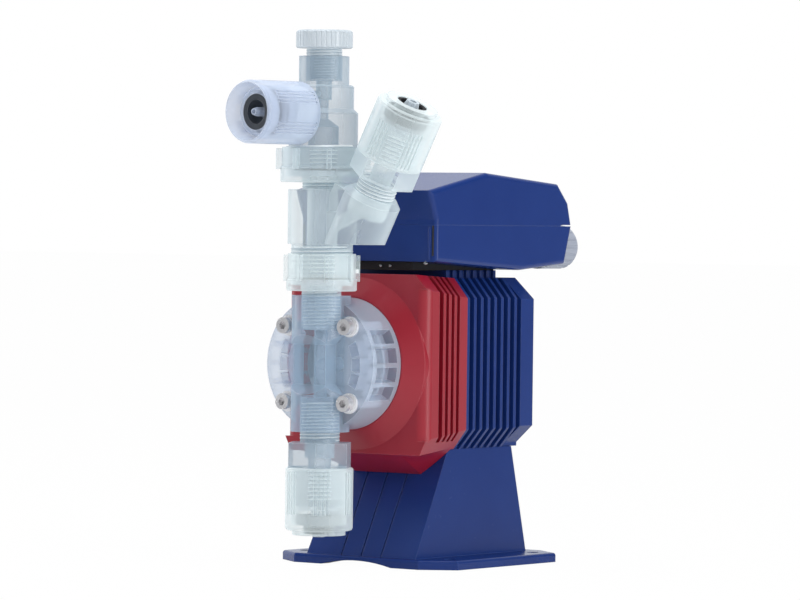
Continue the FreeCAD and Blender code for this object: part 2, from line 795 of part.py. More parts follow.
def build_pump_head():
    head = axis_body("pump_head")
    disc_sketch = sketch_on(head, offset="dims.cone_front")
    circle(disc_sketch, "dims.head_radius")
    extrude(head, disc_sketch, "dims.head_front - dims.cone_front")

    low = "dims.head_bottom - dims.axis_height"
    high = "dims.head_top - dims.axis_height"
    ports = sketch_on(head, "XZ_Plane", f"-({low})")
    circle(ports, "dims.port_radius", "0", "dims.column_reach")
    extrude(head, ports, "dims.head_top - dims.head_bottom", backward=True)

    windows = sketch_on(head, offset="dims.head_front - dims.head_flange_thick")
    pockets = sketch_on(head, offset="dims.head_front")
    rim = "dims.head_radius - dims.window_depth"
    for side_angle in ("0", "180"):
        for step in (-1.5, -0.5, 0.5, 1.5):
            centre = f"{side_angle} + {step} * dims.window_step_angle"
            outline(windows, spoke_points(rim, "dims.head_radius + 2", centre, "dims.window_half_angle"))
        for step in (-1, 0, 1):
            centre = f"{side_angle} + {step} * dims.pocket_step_angle"
            corners = spoke_points(
                "dims.pocket_inner_radius", "dims.pocket_outer_radius", centre, "dims.pocket_half_angle"
            )
            outline(pockets, corners)
    window_length = "dims.head_front - dims.cone_front - 2 * dims.head_flange_thick"
    extrude(head, windows, window_length, "Pocket")
    extrude(head, pockets, "dims.pocket_depth", "Pocket")

    waist = sketch_on(head, offset="dims.head_front")
    slope_top = "dims.hub_half_height - dims.hub_slope"
    for side in ("", "-"):
        outline(
            waist,
            [
                (f"{side}(dims.port_radius + 1)", "dims.hub_half_height"),
                (f"{side}dims.hub_half_width", slope_top),
                (f"{side}dims.hub_half_width", f"-({slope_top})"),
                (f"{side}(dims.port_radius + 1)", "-dims.hub_half_height"),
            ],
        )
    extrude(head, waist, "dims.port_front - dims.head_front + 1", "Pocket", backward=True)
    face = sketch_on(head, "YZ_Plane")
    outline(
        face,
        [
            ("dims.hub_half_height", "dims.port_front + 1"),
            (slope_top, "dims.hub_front"),
            (f"-({slope_top})", "dims.hub_front"),
            ("-dims.hub_half_height", "dims.port_front + 1"),
        ],
    )
    extrude(head, face, "2 * dims.port_radius + 2", "Pocket", middle=True)

    holes = sketch_on(head, offset="dims.cone_front")
    four_circles(holes, "dims.bolt_radius + dims.bolt_hole_clearance")
    extrude(head, holes, "dims.port_front - dims.cone_front + 1", "Pocket", backward=True)
    spotfaces = sketch_on(head, offset="dims.head_front")
    four_circles(spotfaces, "dims.spotface_radius")
    extrude(head, spotfaces, "dims.port_front - dims.head_front + 1", "Pocket", backward=True)

    upper_socket = sketch_on(head, "XZ_Plane", f"-({high} - dims.socket_depth)")
    circle(upper_socket, "dims.port_thread_radius", "0", "dims.column_reach")
    extrude(head, upper_socket, "dims.socket_depth + 1", "Pocket")
    lower_socket = sketch_on(head, "XZ_Plane", f"-({low} - 1)")
    circle(lower_socket, "dims.port_thread_radius", "0", "dims.column_reach")
    extrude(head, lower_socket, "dims.socket_depth + 1", "Pocket")
    passage = sketch_on(head, "XZ_Plane", f"-({low})")
    circle(passage, "dims.passage_radius", "0", "dims.column_reach")
    extrude(head, passage, "dims.head_top - dims.head_bottom", "Pocket")
    recess = "dims.cone_front + dims.diaphragm_thick"
    head.Tip = turn(
        head,
        [
            ("0", "dims.cone_front - 1"),
            ("dims.diaphragm_radius + 0.05", "dims.cone_front - 1"),
            ("dims.diaphragm_radius + 0.05", recess),
            ("dims.chamber_radius", recess),
            ("dims.chamber_radius * 0.6", f"{recess} + dims.chamber_depth"),
            ("dims.passage_radius", f"{recess} + dims.chamber_depth + 1"),
            ("dims.passage_radius", "dims.column_reach"),
            ("0", "dims.column_reach"),
        ],
        "Groove",
    )


def build_head_fasteners():
    bolts = axis_body("head_bolts")
    bolts.AllowCompound = True
    shanks = sketch_on(bolts, offset="dims.bolt_end")
    four_circles(shanks, "dims.bolt_radius")
    extrude(bolts, shanks, "dims.bolt_seat - dims.bolt_end")
    heads = sketch_on(bolts, offset="dims.bolt_seat")
    four_circles(heads, "dims.bolt_head_radius")
    extrude(bolts, heads, "dims.bolt_head_length")
    keys = sketch_on(bolts, offset="dims.bolt_seat + dims.bolt_head_length")
    for side in ("", "-"):
        for end in ("", "-"):
            corners = []
            for step in range(6):
                turned = f"{60 * step} * 1deg"
                x = f"{side}dims.bolt_spacing / 2 + dims.hex_key_radius * cos({turned})"
                y = f"{end}dims.bolt_spacing / 2 + dims.hex_key_radius * sin({turned})"
                corners.append((x, y))
            outline(keys, corners)
    bolts.Tip = extrude(bolts, keys, "dims.hex_key_depth", "Pocket")

    washers = axis_body("head_washers")
    washers.AllowCompound = True
    rings = sketch_on(washers, offset="dims.head_front")
    four_circles(rings, "dims.washer_radius")
    four_circles(rings, "dims.bolt_radius + dims.bolt_hole_clearance")
    washers.Tip = extrude(washers, rings, "dims.bolt_seat - dims.head_front")


# Drive: diaphragm, shaft and plunger, with the spring and the coil round them


def build_drive():
    rear = "dims.cone_front"
    diaphragm = axis_body("diaphragm")
    core_front = f"{rear} + dims.diaphragm_thick + 1"
    core_rear = f"{core_front} - dims.core_length"
    turn(
        diaphragm,
        [
            ("dims.core_radius + dims.web_gap", rear),
            ("dims.diaphragm_radius", rear),
            ("dims.diaphragm_radius", f"{rear} + dims.diaphragm_thick"),
            ("dims.core_radius + dims.web_gap", f"{rear} + dims.diaphragm_thick"),
        ],
    )
    core = axis_body("diaphragm_core")
    turn(
        core,
        [
            ("0", core_rear),
            ("dims.core_radius - 1", core_rear),
            ("dims.core_radius", f"{core_rear} + 1"),
            ("dims.core_radius", f"{core_front} - 1"),
            ("dims.core_radius - 1", core_front),
            ("0", core_front),
        ],
    )
    shaft = axis_body("drive_shaft")
    turn(
        shaft,
        [
            ("0", "dims.plunger_rear"),
            ("dims.shaft_radius", "dims.plunger_rear"),
            ("dims.shaft_radius", core_rear),
            ("0", core_rear),
        ],
    )
    plunger = axis_body("plunger")
    turn(
        plunger,
        [
            ("dims.shaft_radius", "dims.plunger_rear"),
            ("dims.plunger_radius - 1", "dims.plunger_rear"),
            ("dims.plunger_radius", "dims.plunger_rear + 1"),
            ("dims.plunger_radius", "dims.plunger_front"),
            ("dims.shaft_radius", "dims.plunger_front"),
        ],
    )
    bush = axis_body("shaft_bush")
    bore = "dims.shaft_radius + dims.shaft_play"
    bush_end = "dims.front_wall_rear + dims.bush_length"
    turn(
        bush,
        [
            (bore, "dims.front_wall_rear"),
            ("dims.bush_radius", "dims.front_wall_rear"),
            ("dims.bush_radius", bush_end),
            (bore, bush_end),
        ],
    )
    pole = axis_body("pole_plate")
    pole_rear = "dims.plunger_front + dims.pole_gap"
    turn(
        pole,
        [
            ("dims.pole_hole_radius", pole_rear),
            ("dims.bore_radius", pole_rear),
            ("dims.bore_radius", "dims.pole_front"),
            ("dims.pole_hole_radius", "dims.pole_front"),
        ],
    )
    yoke = axis_body("solenoid_yoke")
    yoke_rear = "-(dims.end_plate_rear - dims.bore_end_wall)"
    coil_rear = f"{yoke_rear} + dims.yoke_base"
    damper_front = "dims.plunger_rear - dims.damper_rest_gap"
    turn(
        yoke,
        [
            ("0", yoke_rear),
            ("dims.bore_radius", yoke_rear),
            ("dims.bore_radius", pole_rear),
            ("dims.bore_radius - dims.yoke_wall", pole_rear),
            ("dims.bore_radius - dims.yoke_wall", coil_rear),
            ("dims.damper_radius", coil_rear),
            ("dims.damper_radius", damper_front),
            ("0", damper_front),
        ],
    )
    bobbin = axis_body("coil_bobbin")
    inside = "dims.plunger_radius + dims.plunger_play"
    tube_outer = f"{inside} + dims.bobbin_wall"
    turn(
        bobbin,
        [
            (inside, coil_rear),
            ("dims.bobbin_flange_radius", coil_rear),
            ("dims.bobbin_flange_radius", f"{coil_rear} + dims.bobbin_wall"),
            (tube_outer, f"{coil_rear} + dims.bobbin_wall"),
            (tube_outer, f"{pole_rear} - dims.bobbin_wall"),
            ("dims.bobbin_flange_radius", f"{pole_rear} - dims.bobbin_wall"),
            ("dims.bobbin_flange_radius", pole_rear),
            (inside, pole_rear),
        ],
    )
    winding = axis_body("coil_winding")
    turn(
        winding,
        [
            (tube_outer, f"{coil_rear} + dims.bobbin_wall"),
            ("dims.winding_radius", f"{coil_rear} + dims.bobbin_wall"),
            ("dims.winding_radius", f"{pole_rear} - dims.bobbin_wall"),
            (tube_outer, f"{pole_rear} - dims.bobbin_wall"),
        ],
    )
    spring = axis_body("return_spring")
    wire = sketch_on(spring, "XZ_Plane")
    spring_rear = "dims.plunger_front + dims.spring_wire_radius"
    circle(wire, "dims.spring_wire_radius", "dims.spring_radius", spring_rear)
    coil = spring.newObject("PartDesign::AdditiveHelix", "spring_coil")
    coil.Profile = wire
    coil.ReferenceAxis = (wire, ["V_Axis"])
    coil.Mode = "height-turns-angle"
    coil.setExpression("Height", "dims.front_wall_rear - dims.plunger_front - 2 * dims.spring_wire_radius")
    coil.setExpression("Turns", "dims.spring_turns")
    spring.Tip = coil


# Hose fittings: an adapter, a nozzle, a clamp ring and a ribbed nut, drawn outward from the nut's rear face

SUCTION = {"y": "-dims.column_reach", "z": "dims.hex_bottom", "roll": "180"}
DISCHARGE = {
    "x": "dims.branch_nut_x",
    "y": "-dims.column_reach",
    "z": "dims.branch_nut_z",
    "pitch": "dims.branch_tilt",
}
VENT = {
    "x": "-dims.vent_nut_start * sin(dims.vent_outlet_swing * 1deg)",
    "y": "-dims.column_reach - dims.vent_nut_start * cos(dims.vent_outlet_swing * 1deg)",
    "z": "dims.vent_outlet_height",
    "yaw": "-dims.vent_outlet_swing",
    "roll": "90",
}


# How the three fittings differ inward from the nut: spigot, inner wall of the nut, and size across its cavity
LARGE = {
    "length": "dims.nut_length",
    "spigot": "dims.spigot_length",
    "wall": "(dims.nut_length - dims.nut_front_wall)",
    "cavity": "dims.nut_cavity_radius",
}
SHORT = {
    "length": "dims.discharge_nut_length",
    "spigot": "dims.discharge_spigot_length",
    "wall": "(dims.discharge_nut_length - dims.nut_front_wall)",
    "cavity": "dims.nut_cavity_radius",
}
DISHED = {
    "spigot": "dims.vent_spigot_length",
    "wall": "(dims.vent_nut_length - dims.vent_dish_depth - dims.nut_front_wall)",
    "cavity": "dims.vent_cavity_radius",
}


def cut_grips(nut, radius, length, grip_angle):
    """Six groups of four shallow grip grooves along a nut."""
    grips = sketch_on(nut, offset="dims.nut_grip_start")
    for step in (-1.5, -0.5, 0.5, 1.5):
        centre = f"{grip_angle} + {step} * dims.nut_grip_step"
        corners = spoke_points(f"{radius} - dims.nut_grip_depth", f"{radius} + 1", centre, "dims.nut_grip_step / 4")
        outline(grips, corners)
    cut = extrude(nut, grips, f"{length} - dims.nut_grip_start", "Pocket", backward=True)
    ring_of(nut, cut, 6)


def build_tube_nut(label, where, fitting, grip_angle):
    """A ribbed nut with a raised lip round its mouth."""
    nut = new_body(label, **where)
    front = fitting["length"]
    tip = f"{front} + dims.nut_lip_length"
    turn(
        nut,
        [
            (fitting["cavity"], "0"),
            ("dims.nut_radius - 0.6", "0"),
            ("dims.nut_radius", "0.6"),
            ("dims.nut_radius", f"{front} - 1.4"),
            ("dims.nut_radius - 0.5", f"{front} - 0.4"),
            ("dims.nut_radius - 1.6", front),
            ("dims.nut_lip_radius", front),
            ("dims.nut_lip_radius", tip),
            ("dims.nut_mouth_radius", tip),
            ("dims.nut_mouth_radius", fitting["wall"]),
            (fitting["cavity"], fitting["wall"]),
        ],
    )
    cut_grips(nut, "dims.nut_radius", f"({front} - dims.nut_collar_length)", grip_angle)


def build_dished_nut(label, where, grip_angle):
    """The vent's longer nut: a thin rim stands round a dish with the mouth on a low boss in it."""
    nut = new_body(label, **where)
    front = "dims.vent_nut_length"
    radius = "dims.vent_nut_radius"
    floor = f"({front} - dims.vent_dish_depth)"
    crown = f"{floor} + dims.vent_boss_height"
    turn(
        nut,
        [
            (DISHED["cavity"], "0"),
            (f"{radius} - 0.6", "0"),
            (radius, "0.6"),
            (radius, f"{front} - 2.2"),
            (f"{radius} - 0.5", f"{front} - 0.8"),
            (f"{radius} - 1.1", front),
            ("dims.vent_dish_radius", front),
            ("dims.vent_dish_radius - 1", f"{floor} + 2"),
            ("dims.vent_boss_radius + 0.6", floor),
            ("dims.vent_boss_radius", floor),
            ("dims.vent_boss_radius", f"{crown} - 0.8"),
            ("dims.vent_boss_radius - 0.8", crown),
            ("dims.vent_mouth_radius", crown),
            ("dims.vent_mouth_radius", DISHED["wall"]),
            (DISHED["cavity"], DISHED["wall"]),
        ],
    )
    cut_grips(nut, radius, "(dims.vent_nut_length - dims.nut_collar_length)", grip_angle)


def build_adapter(label, where, fitting, hex_length, thread_length, first_corner):
    """A fitting screwed in behind its hexagon, with a threaded spigot inside the nut."""
    adapter = new_body(label, **where)
    end = f"-{hex_length} - ({thread_length})"
    inner = "dims.port_thread_radius - dims.thread_clearance"
    spigot = "dims.nut_thread_radius"
    points = [
        (inner, end),
        (inner, f"-{hex_length}"),
        (spigot, f"-{hex_length}"),
        (spigot, fitting["spigot"]),
        ("dims.hose_bore_radius", fitting["spigot"]),
    ]
    if label == "suction_adapter":
        ledge = "-(dims.suction_valves_bottom - dims.hex_bottom)"
        bore = "dims.valve_radius + dims.valve_play"
        points += [("dims.hose_bore_radius", ledge), (bore, ledge), (bore, end)]
    else:
        points += [("dims.hose_bore_radius", end)]
    turn(adapter, points)
    flats = sketch_on(adapter, offset=f"-{hex_length}")
    across_corners = "dims.hex_across_flats / sqrt(3)"
    corners = []
    for step in range(6):
        turned = f"{first_corner + 60 * step} * 1deg"
        corners.append((f"{across_corners} * cos({turned})", f"{across_corners} * sin({turned})"))
    outline(flats, corners)
    circle(flats, "dims.adapter_bore_radius")
    adapter.Tip = extrude(adapter, flats, hex_length)


def build_vent_adapter():
    """The vent's adapter has no hexagon: it is bonded into the side of the vent body."""
    adapter = new_body("vent_adapter", **VENT)
    end = "-(dims.vent_nut_start - dims.vent_socket_radius)"
    turn(
        adapter,
        [
            ("dims.hose_bore_radius", end),
            ("dims.vent_neck_radius", end),
            ("dims.vent_neck_radius", "0"),
            ("dims.vent_spigot_radius", "0"),
            ("dims.vent_spigot_radius", DISHED["spigot"]),
            ("dims.hose_bore_radius", DISHED["spigot"]),
        ],
    )


def build_nozzle(label, where, fitting, radius, bore, length):
    nozzle = new_body(label, **where)
    seat = fitting["spigot"]
    shoulder = f"{seat} + dims.nozzle_flange_thick"
    tip = f"{shoulder} + {length}"
    turn(
        nozzle,
        [
            (bore, seat),
            ("dims.nozzle_flange_radius", seat),
            ("dims.nozzle_flange_radius", shoulder),
            (f"{radius} + 1", shoulder),
            (radius, f"{shoulder} + 1"),
            (radius, f"{tip} - 2.5"),
            (f"{radius} - 0.7", tip),
            (bore, tip),
        ],
    )


def build_clamp(label, where, fitting, nose_radius, nose_length):
    """A clamp ring behind the nut's front wall, with a nose that fills the nut's mouth."""
    clamp = new_body(label, **where)
    wall = fitting["wall"]
    nose = f"{wall} + {nose_length}"
    turn(
        clamp,
        [
            ("dims.clamp_bore_radius + 1", f"{wall} - dims.clamp_length"),
            ("dims.clamp_radius", f"{wall} - dims.clamp_length"),
            ("dims.clamp_radius", wall),
            (nose_radius, wall),
            (nose_radius, nose),
            ("dims.clamp_bore_radius", nose),
            ("dims.clamp_bore_radius", f"{wall} - dims.clamp_length + 2"),
        ],
    )


def build_hose_fittings():
    build_tube_nut("suction_nut", SUCTION, LARGE, "50")
    build_tube_nut("discharge_nut", DISCHARGE, SHORT, "-88")
    build_dished_nut("vent_nut", VENT, "30")
    suction_thread = "dims.head_bottom - dims.hex_top + dims.socket_depth - dims.cut_past"
    build_adapter("suction_adapter", SUCTION, LARGE, "dims.suction_hex_length", suction_thread, 0)
    branch_thread = "dims.branch_neck_length + dims.branch_thread_length"
    build_adapter("discharge_adapter", DISCHARGE, SHORT, "dims.branch_hex_length", branch_thread, 30)
    build_vent_adapter()
    for label, where, fitting in (("suction", SUCTION, LARGE), ("discharge", DISCHARGE, SHORT)):
        build_nozzle(
            f"{label}_nozzle", where, fitting, "dims.nozzle_radius", "dims.nozzle_bore_radius", "dims.nozzle_length"
        )
        build_clamp(f"{label}_clamp", where, fitting, "(dims.nut_mouth_radius - 0.05)", "dims.clamp_nose_length")
    build_nozzle(
        "vent_nozzle", VENT, DISHED, "dims.vent_nozzle_radius", "dims.vent_nozzle_bore", "dims.vent_nozzle_length"
    )
    vent_nose = "dims.nut_front_wall + dims.vent_boss_height"
    build_clamp("vent_clamp", VENT, DISHED, "(dims.vent_mouth_radius - 0.05)", vent_nose)


# Valve cartridges: each holds a ball between a seat and a slotted stop


def build_valve(label, bottom, number):
    seat_rise = "sqrt(dims.ball_radius ^ 2 - dims.valve_seat_radius ^ 2)"
    stop_drop = "sqrt(dims.ball_radius ^ 2 - dims.valve_stop_radius ^ 2)"
    room = f"({seat_rise} + {stop_drop} + dims.ball_lift + 2 * dims.ball_rest_gap)"
    length = f"(dims.valve_seat_length + {room} + dims.valve_stop_length)"
    base = f"{bottom} + {number} * {length}"
    valve = new_body(label, y="-dims.column_reach", z=base)
    stop = f"{length} - dims.valve_stop_length"
    turn(
        valve,
        [
            ("dims.valve_seat_radius", "0"),
            ("dims.valve_radius", "0"),
            ("dims.valve_radius", length),
            ("dims.valve_stop_radius", length),
            ("dims.valve_stop_radius", stop),
            ("dims.valve_chamber_radius", stop),
            ("dims.valve_chamber_radius", "dims.valve_seat_length"),
            ("dims.valve_seat_radius", "dims.valve_seat_length"),
        ],
    )
    slot = sketch_on(valve, offset=stop)
    rectangle(slot, "0", "dims.valve_chamber_radius", "-dims.valve_slot_half", "dims.valve_slot_half")
    ring_of(valve, extrude(valve, slot, "dims.valve_stop_length + 1", "Pocket", backward=True), 3)

    ball = doc.addObject("Part::Sphere", label.replace("valve", "ball"))
    ball.Label = label.replace("valve", "ball")
    ball.setExpression("Radius", "dims.ball_radius")
    rest = f"{base} + dims.valve_seat_length + {seat_rise} + dims.ball_rest_gap"
    stand(ball, y="-dims.column_reach", z=rest)
    PIECES.append(ball)


# Upright column above the head: discharge fitting, wing nuts, branch body, vent body and vent screw


def build_wing_nut(label, bottom, band_top, top, radius, reach, thread, hole):
    nut = column_body(label)
    wall = f"{bottom} + dims.union_wall"
    turn(
        nut,
        [
            (hole, bottom),
            (f"{radius} - 0.6", bottom),
            (radius, f"{bottom} + 0.6"),
            (radius, band_top),
            (f"{radius} - 0.7", f"{band_top} + 0.7"),
            (f"{radius} - 0.7", top),
            (f"{thread} + dims.thread_clearance", top),
            (f"{thread} + dims.thread_clearance", wall),
            (hole, wall),
        ],
    )
    wing = sketch_on(nut, offset=f"{band_top} - 1")
    half = "dims.union_wing_half_width"
    rectangle(wing, f"{radius} - 1.5", f"{radius} + {reach}", f"-{half}", half)
    wing_pad = extrude(nut, wing, f"{top} - ({band_top}) + 0.2")
    ring_of(nut, wing_pad, 8)


def build_column():
    valve_bore = "dims.valve_radius + dims.valve_play"
    thread = "dims.port_thread_radius - dims.thread_clearance"
    flange_low = "dims.union_bottom + dims.union_wall"
    flange_high = f"{flange_low} + dims.union_flange_thick"
    fitting = column_body("discharge_fitting")
    turn(
        fitting,
        [
            (valve_bore, "dims.head_top - dims.socket_depth + 1"),
            (thread, "dims.head_top - dims.socket_depth + 1"),
            (thread, flange_low),
            ("dims.union_thread_radius - 0.5", flange_low),
            ("dims.union_thread_radius - 0.5", flange_high),
            (valve_bore, flange_high),
        ],
    )
    neck_hole = "dims.port_thread_radius + 0.4"
    build_wing_nut(
        "lower_union_nut",
        "dims.union_bottom",
        "dims.union_band_top",
        "dims.union_top",
        "dims.union_radius",
        "dims.union_wing_reach",
        "dims.union_thread_radius",
        neck_hole,
    )
    build_wing_nut(
        "upper_union_nut",
        "dims.upper_union_bottom",
        "dims.upper_union_band_top",
        "dims.upper_union_top",
        "dims.upper_union_radius",
        "dims.upper_union_wing_reach",
        "dims.upper_thread_radius",
        "dims.upper_neck_radius + 0.4",
    )
    tail_low = "dims.upper_union_bottom + dims.union_wall"
    tail_high = f"{tail_low} + dims.union_flange_thick"
    tail = column_body("union_tail")
    turn(
        tail,
        [
            ("dims.upper_neck_radius + 0.05", tail_low),
            ("dims.upper_thread_radius - 0.5", tail_low),
            ("dims.upper_thread_radius - 0.5", tail_high),
            ("dims.upper_neck_radius + 0.05", tail_high),
        ],
    )
    gaskets = column_body("union_gaskets")
    gaskets.AllowCompound = True
    for low in (flange_high, tail_high):
        gasket = sketch_on(gaskets, offset=low)
        circle(gasket, "dims.gasket_outer_radius")
        circle(gasket, "dims.gasket_inner_radius")
        gaskets.Tip = extrude(gaskets, gasket, "dims.gasket_thick")

    build_branch_body(f"{flange_high} + dims.gasket_thick", tail_high)
    build_vent_body(f"{tail_high} + dims.gasket_thick")


def primitive(kind, **sizes):
    """A plain solid with its own sizes tied to expressions."""
    solid = doc.addObject(f"Part::{kind}", kind.lower())
    for name, expression in sizes.items():
        solid.setExpression(name, expression)
    return solid


def joined(shapes, kind="MultiFuse"):
    """Several solids made one, or their shared part."""
    result = doc.addObject(f"Part::{kind}", kind.lower())
    result.Shapes = shapes
    return result


def cut_from(label, base, tools):
    """A labelled piece: a solid less some tools."""
    piece = doc.addObject("Part::Cut", label)
    piece.Label = label
    piece.Base = base
    piece.Tool = joined(tools)
    PIECES.append(piece)
    return piece


def build_branch_body(thread_low, neck_top):
    """The column's middle, with an inclined boss for the discharge fitting."""
    low = "dims.branch_body_bottom"
    high = "dims.branch_body_top"
    upright = {"y": "-dims.column_reach"}
    column = primitive("Cylinder", Radius="dims.branch_body_radius", Height=f"{high} - {low}")
    stand(column, z=low, **upright)
    thread = primitive("Cylinder", Radius="dims.union_thread_radius", Height=f"{low} - ({thread_low})")
    stand(thread, z=thread_low, **upright)
    neck = primitive("Cylinder", Radius="dims.upper_neck_radius", Height=f"{neck_top} - {high}")
    stand(neck, z=high, **upright)

    back = "(dims.branch_hex_length + dims.branch_neck_length)"
    reach = "dims.branch_boss_length"
    lean_sin = "sin(dims.branch_tilt * 1deg)"
    lean_cos = "cos(dims.branch_tilt * 1deg)"

    def along(distance):
        """A place on the branch axis, a distance back from the nut."""
        return {
            "x": f"dims.branch_nut_x - ({distance}) * {lean_sin}",
            "y": "-dims.column_reach",
            "z": f"dims.branch_nut_z - ({distance}) * {lean_cos}",
            "pitch": "dims.branch_tilt",
        }

    bevel = "dims.branch_boss_round"
    boss = primitive("Cylinder", Radius="dims.branch_boss_radius", Height=f"{reach} - {bevel}")
    stand(boss, **along(f"{back} + {reach}"))
    crown = primitive(
        "Cone", Radius1="dims.branch_boss_radius", Radius2=f"dims.branch_boss_radius - {bevel}", Height=bevel
    )
    stand(crown, **along(f"{back} + {bevel}"))
    web = primitive(
        "Box",
        Length="dims.branch_nut_x - dims.branch_web_inset",
        Width="2 * dims.branch_web_half_width",
        Height="dims.branch_web_height",
    )
    stand(web, y="-dims.column_reach - dims.branch_web_half_width", z=low)
    block = primitive(
        "Box",
        Length="dims.branch_block_reach",
        Width="2 * dims.branch_block_half_width",
        Height=f"{reach} - {bevel}",
    )
    block_place = along(f"{back} + {reach}")
    block_place["x"] += f" - dims.branch_block_reach * {lean_cos}"
    block_place["y"] += " - dims.branch_block_half_width"
    block_place["z"] += f" + dims.branch_block_reach * {lean_sin}"
    stand(block, **block_place)
    side = joined([boss, crown, web, block])
    span = "(2 * dims.branch_boss_length + 2 * dims.branch_nut_x)"
    keep = primitive("Box", Length=span, Width=span, Height=span)
    stand(keep, x=f"-{span} / 2", y=f"-dims.column_reach - {span} / 2", z=low)
    clipped = joined([side, keep], "MultiCommon")
    solid = joined([column, thread, neck, clipped])

    bore = primitive("Cylinder", Radius="dims.adapter_bore_radius", Height=f"{neck_top} - ({thread_low}) + 2")
    stand(bore, z=f"{thread_low} - 1", **upright)
    socket = primitive("Cylinder", Radius="dims.port_thread_radius", Height="dims.branch_thread_length + 2")
    stand(socket, **along(f"{back} + dims.branch_thread_length + 1"))
    passage = primitive("Cylinder", Radius="dims.passage_radius", Height="dims.branch_nut_x")
    stand(passage, y="-dims.column_reach", z=f"{low} + dims.passage_rise", pitch="dims.passage_pitch")
    cut_from("branch_body", solid, [bore, socket, passage])


def build_vent_body(thread_low):
    vent = column_body("vent_body")
    thread = "dims.upper_thread_radius"
    shoulder = "dims.upper_union_top + 0.4"
    bore = "dims.adapter_bore_radius"
    turn(
        vent,
        [
            (bore, thread_low),
            (thread, thread_low),
            (thread, shoulder),
            ("dims.vent_lug_reach", shoulder),
            ("dims.vent_lug_reach", "dims.vent_lug_step - 1"),
            ("dims.vent_lug_upper_reach", "dims.vent_lug_step + 1.3"),
            ("dims.vent_lug_upper_reach", "dims.vent_shoulder - 0.8"),
            ("dims.vent_lug_upper_reach - 0.8", "dims.vent_shoulder"),
            ("dims.vent_body_radius", "dims.vent_shoulder"),
            ("dims.vent_body_radius", "dims.vent_body_top"),
            ("dims.vent_bore_radius", "dims.vent_body_top"),
            ("dims.vent_bore_radius", "dims.vent_bore_floor"),
            ("dims.vent_plug_radius + dims.vent_plug_play", "dims.vent_bore_floor"),
            ("dims.vent_plug_radius + dims.vent_plug_play", "dims.vent_seat"),
            ("dims.vent_plug_radius - 1.5", "dims.vent_seat"),
            ("dims.vent_plug_radius - 1.5", "dims.vent_lug_step - 4"),
            (bore, "dims.vent_lug_step - 8"),
        ],
    )
    outlet = doc.addObject("Part::Cylinder", "vent_outlet_socket")
    outlet.setExpression("Radius", "dims.vent_neck_radius + 0.05")
    outlet.setExpression("Height", "dims.vent_nut_start")
    socket_where = dict(VENT)
    swing = "dims.vent_outlet_swing * 1deg"
    socket_where["x"] = f"-dims.vent_socket_radius * sin({swing})"
    socket_where["y"] = f"-dims.column_reach - dims.vent_socket_radius * cos({swing})"
    stand(outlet, **socket_where)
    channel = doc.addObject("Part::Cylinder", "vent_channel")
    channel.setExpression("Radius", "dims.vent_channel_radius")
    channel.setExpression("Height", "dims.vent_nut_start")
    channel_where = dict(VENT, x="0", y="-dims.column_reach", z="dims.vent_seat + 3")
    stand(channel, **channel_where)
    PIECES.remove(vent)
    vent.Label = "vent_body_turned"
    cut_from("vent_body", vent, [outlet, channel])

    plug = column_body("vent_plug")
    plug_low = "dims.vent_seat + dims.vent_seat_gap"
    plug_high = "dims.vent_bore_floor + 1"
    turn(
        plug,
        [
            ("0", plug_low),
            ("dims.vent_plug_radius - 0.8", plug_low),
            ("dims.vent_plug_radius", f"{plug_low} + 0.8"),
            ("dims.vent_plug_radius", plug_high),
            ("0", plug_high),
        ],
    )
    knob = column_body("vent_knob")
    knob_low = "dims.vent_knob_bottom"
    knob_high = "dims.vent_knob_top"
    turn(
        knob,
        [
            ("0", plug_high),
            ("dims.vent_spindle_radius - 1", plug_high),
            ("dims.vent_spindle_radius", f"{plug_high} + 1"),
            ("dims.vent_spindle_radius", knob_low),
            ("dims.vent_knob_radius - 0.5", knob_low),
            ("dims.vent_knob_radius", f"{knob_low} + 0.5"),
            ("dims.vent_knob_radius", f"{knob_high} - 1"),
            ("dims.vent_knob_radius - 1", knob_high),
            ("0", knob_high),
        ],
    )
    flute = sketch_on(knob, offset=knob_low)
    circle(flute, "dims.vent_knurl_radius", "dims.vent_knob_radius + 0.1", "0")
    cut = extrude(knob, flute, f"{knob_high} - {knob_low} + 1", "Pocket", backward=True)
    ring_of(knob, cut, 36)


# Control unit: two case mouldings with a recessed rear panel between their cheeks


def case_half(label, points, cavity_low, cavity_high, flat_height):
    """A half of the case: its side outline, rounded at both sides, less the inner room and the rear recess."""
    half = new_body(label)
    sketch = sketch_on(half, "YZ_Plane")
    outline(sketch, points)
    block = extrude(half, sketch, "2 * dims.case_half_width", middle=True)
    side = measure("dims.case_half_width")
    split = measure(flat_height)

    def side_edge(edge):
        box = edge.BoundBox
        on_side = abs(abs(edge.CenterOfMass.x) - side) < 0.01
        along_split = abs(box.ZMin - split) < 0.01 and abs(box.ZMax - split) < 0.01
        return on_side and not along_split

    round_edges(half, block, side_edge, "dims.case_edge_round")
    inner = "dims.case_half_width - dims.cheek_thick"
    room = sketch_on(half, offset=cavity_low)
    rear = "dims.panel_y - dims.panel_thick"
    rectangle(room, f"-({inner})", inner, "-(dims.case_front - dims.case_wall)", rear)
    extrude(half, room, f"{cavity_high} - ({cavity_low})", "Pocket", backward=True)
    slot = sketch_on(half, offset=cavity_low)
    rectangle(slot, f"-({inner})", inner, f"{rear} - 0.1", "dims.panel_y")
    extrude(half, slot, f"{cavity_high} - ({cavity_low})", "Pocket", backward=True)
    recess = sketch_on(half, offset="dims.case_keel_height - 1")
    rectangle(recess, f"-({inner})", inner, "dims.panel_y", "dims.case_tail_y + 2")
    half.Tip = extrude(half, recess, "dims.case_peak_height - dims.case_keel_height", "Pocket", backward=True)
    return half


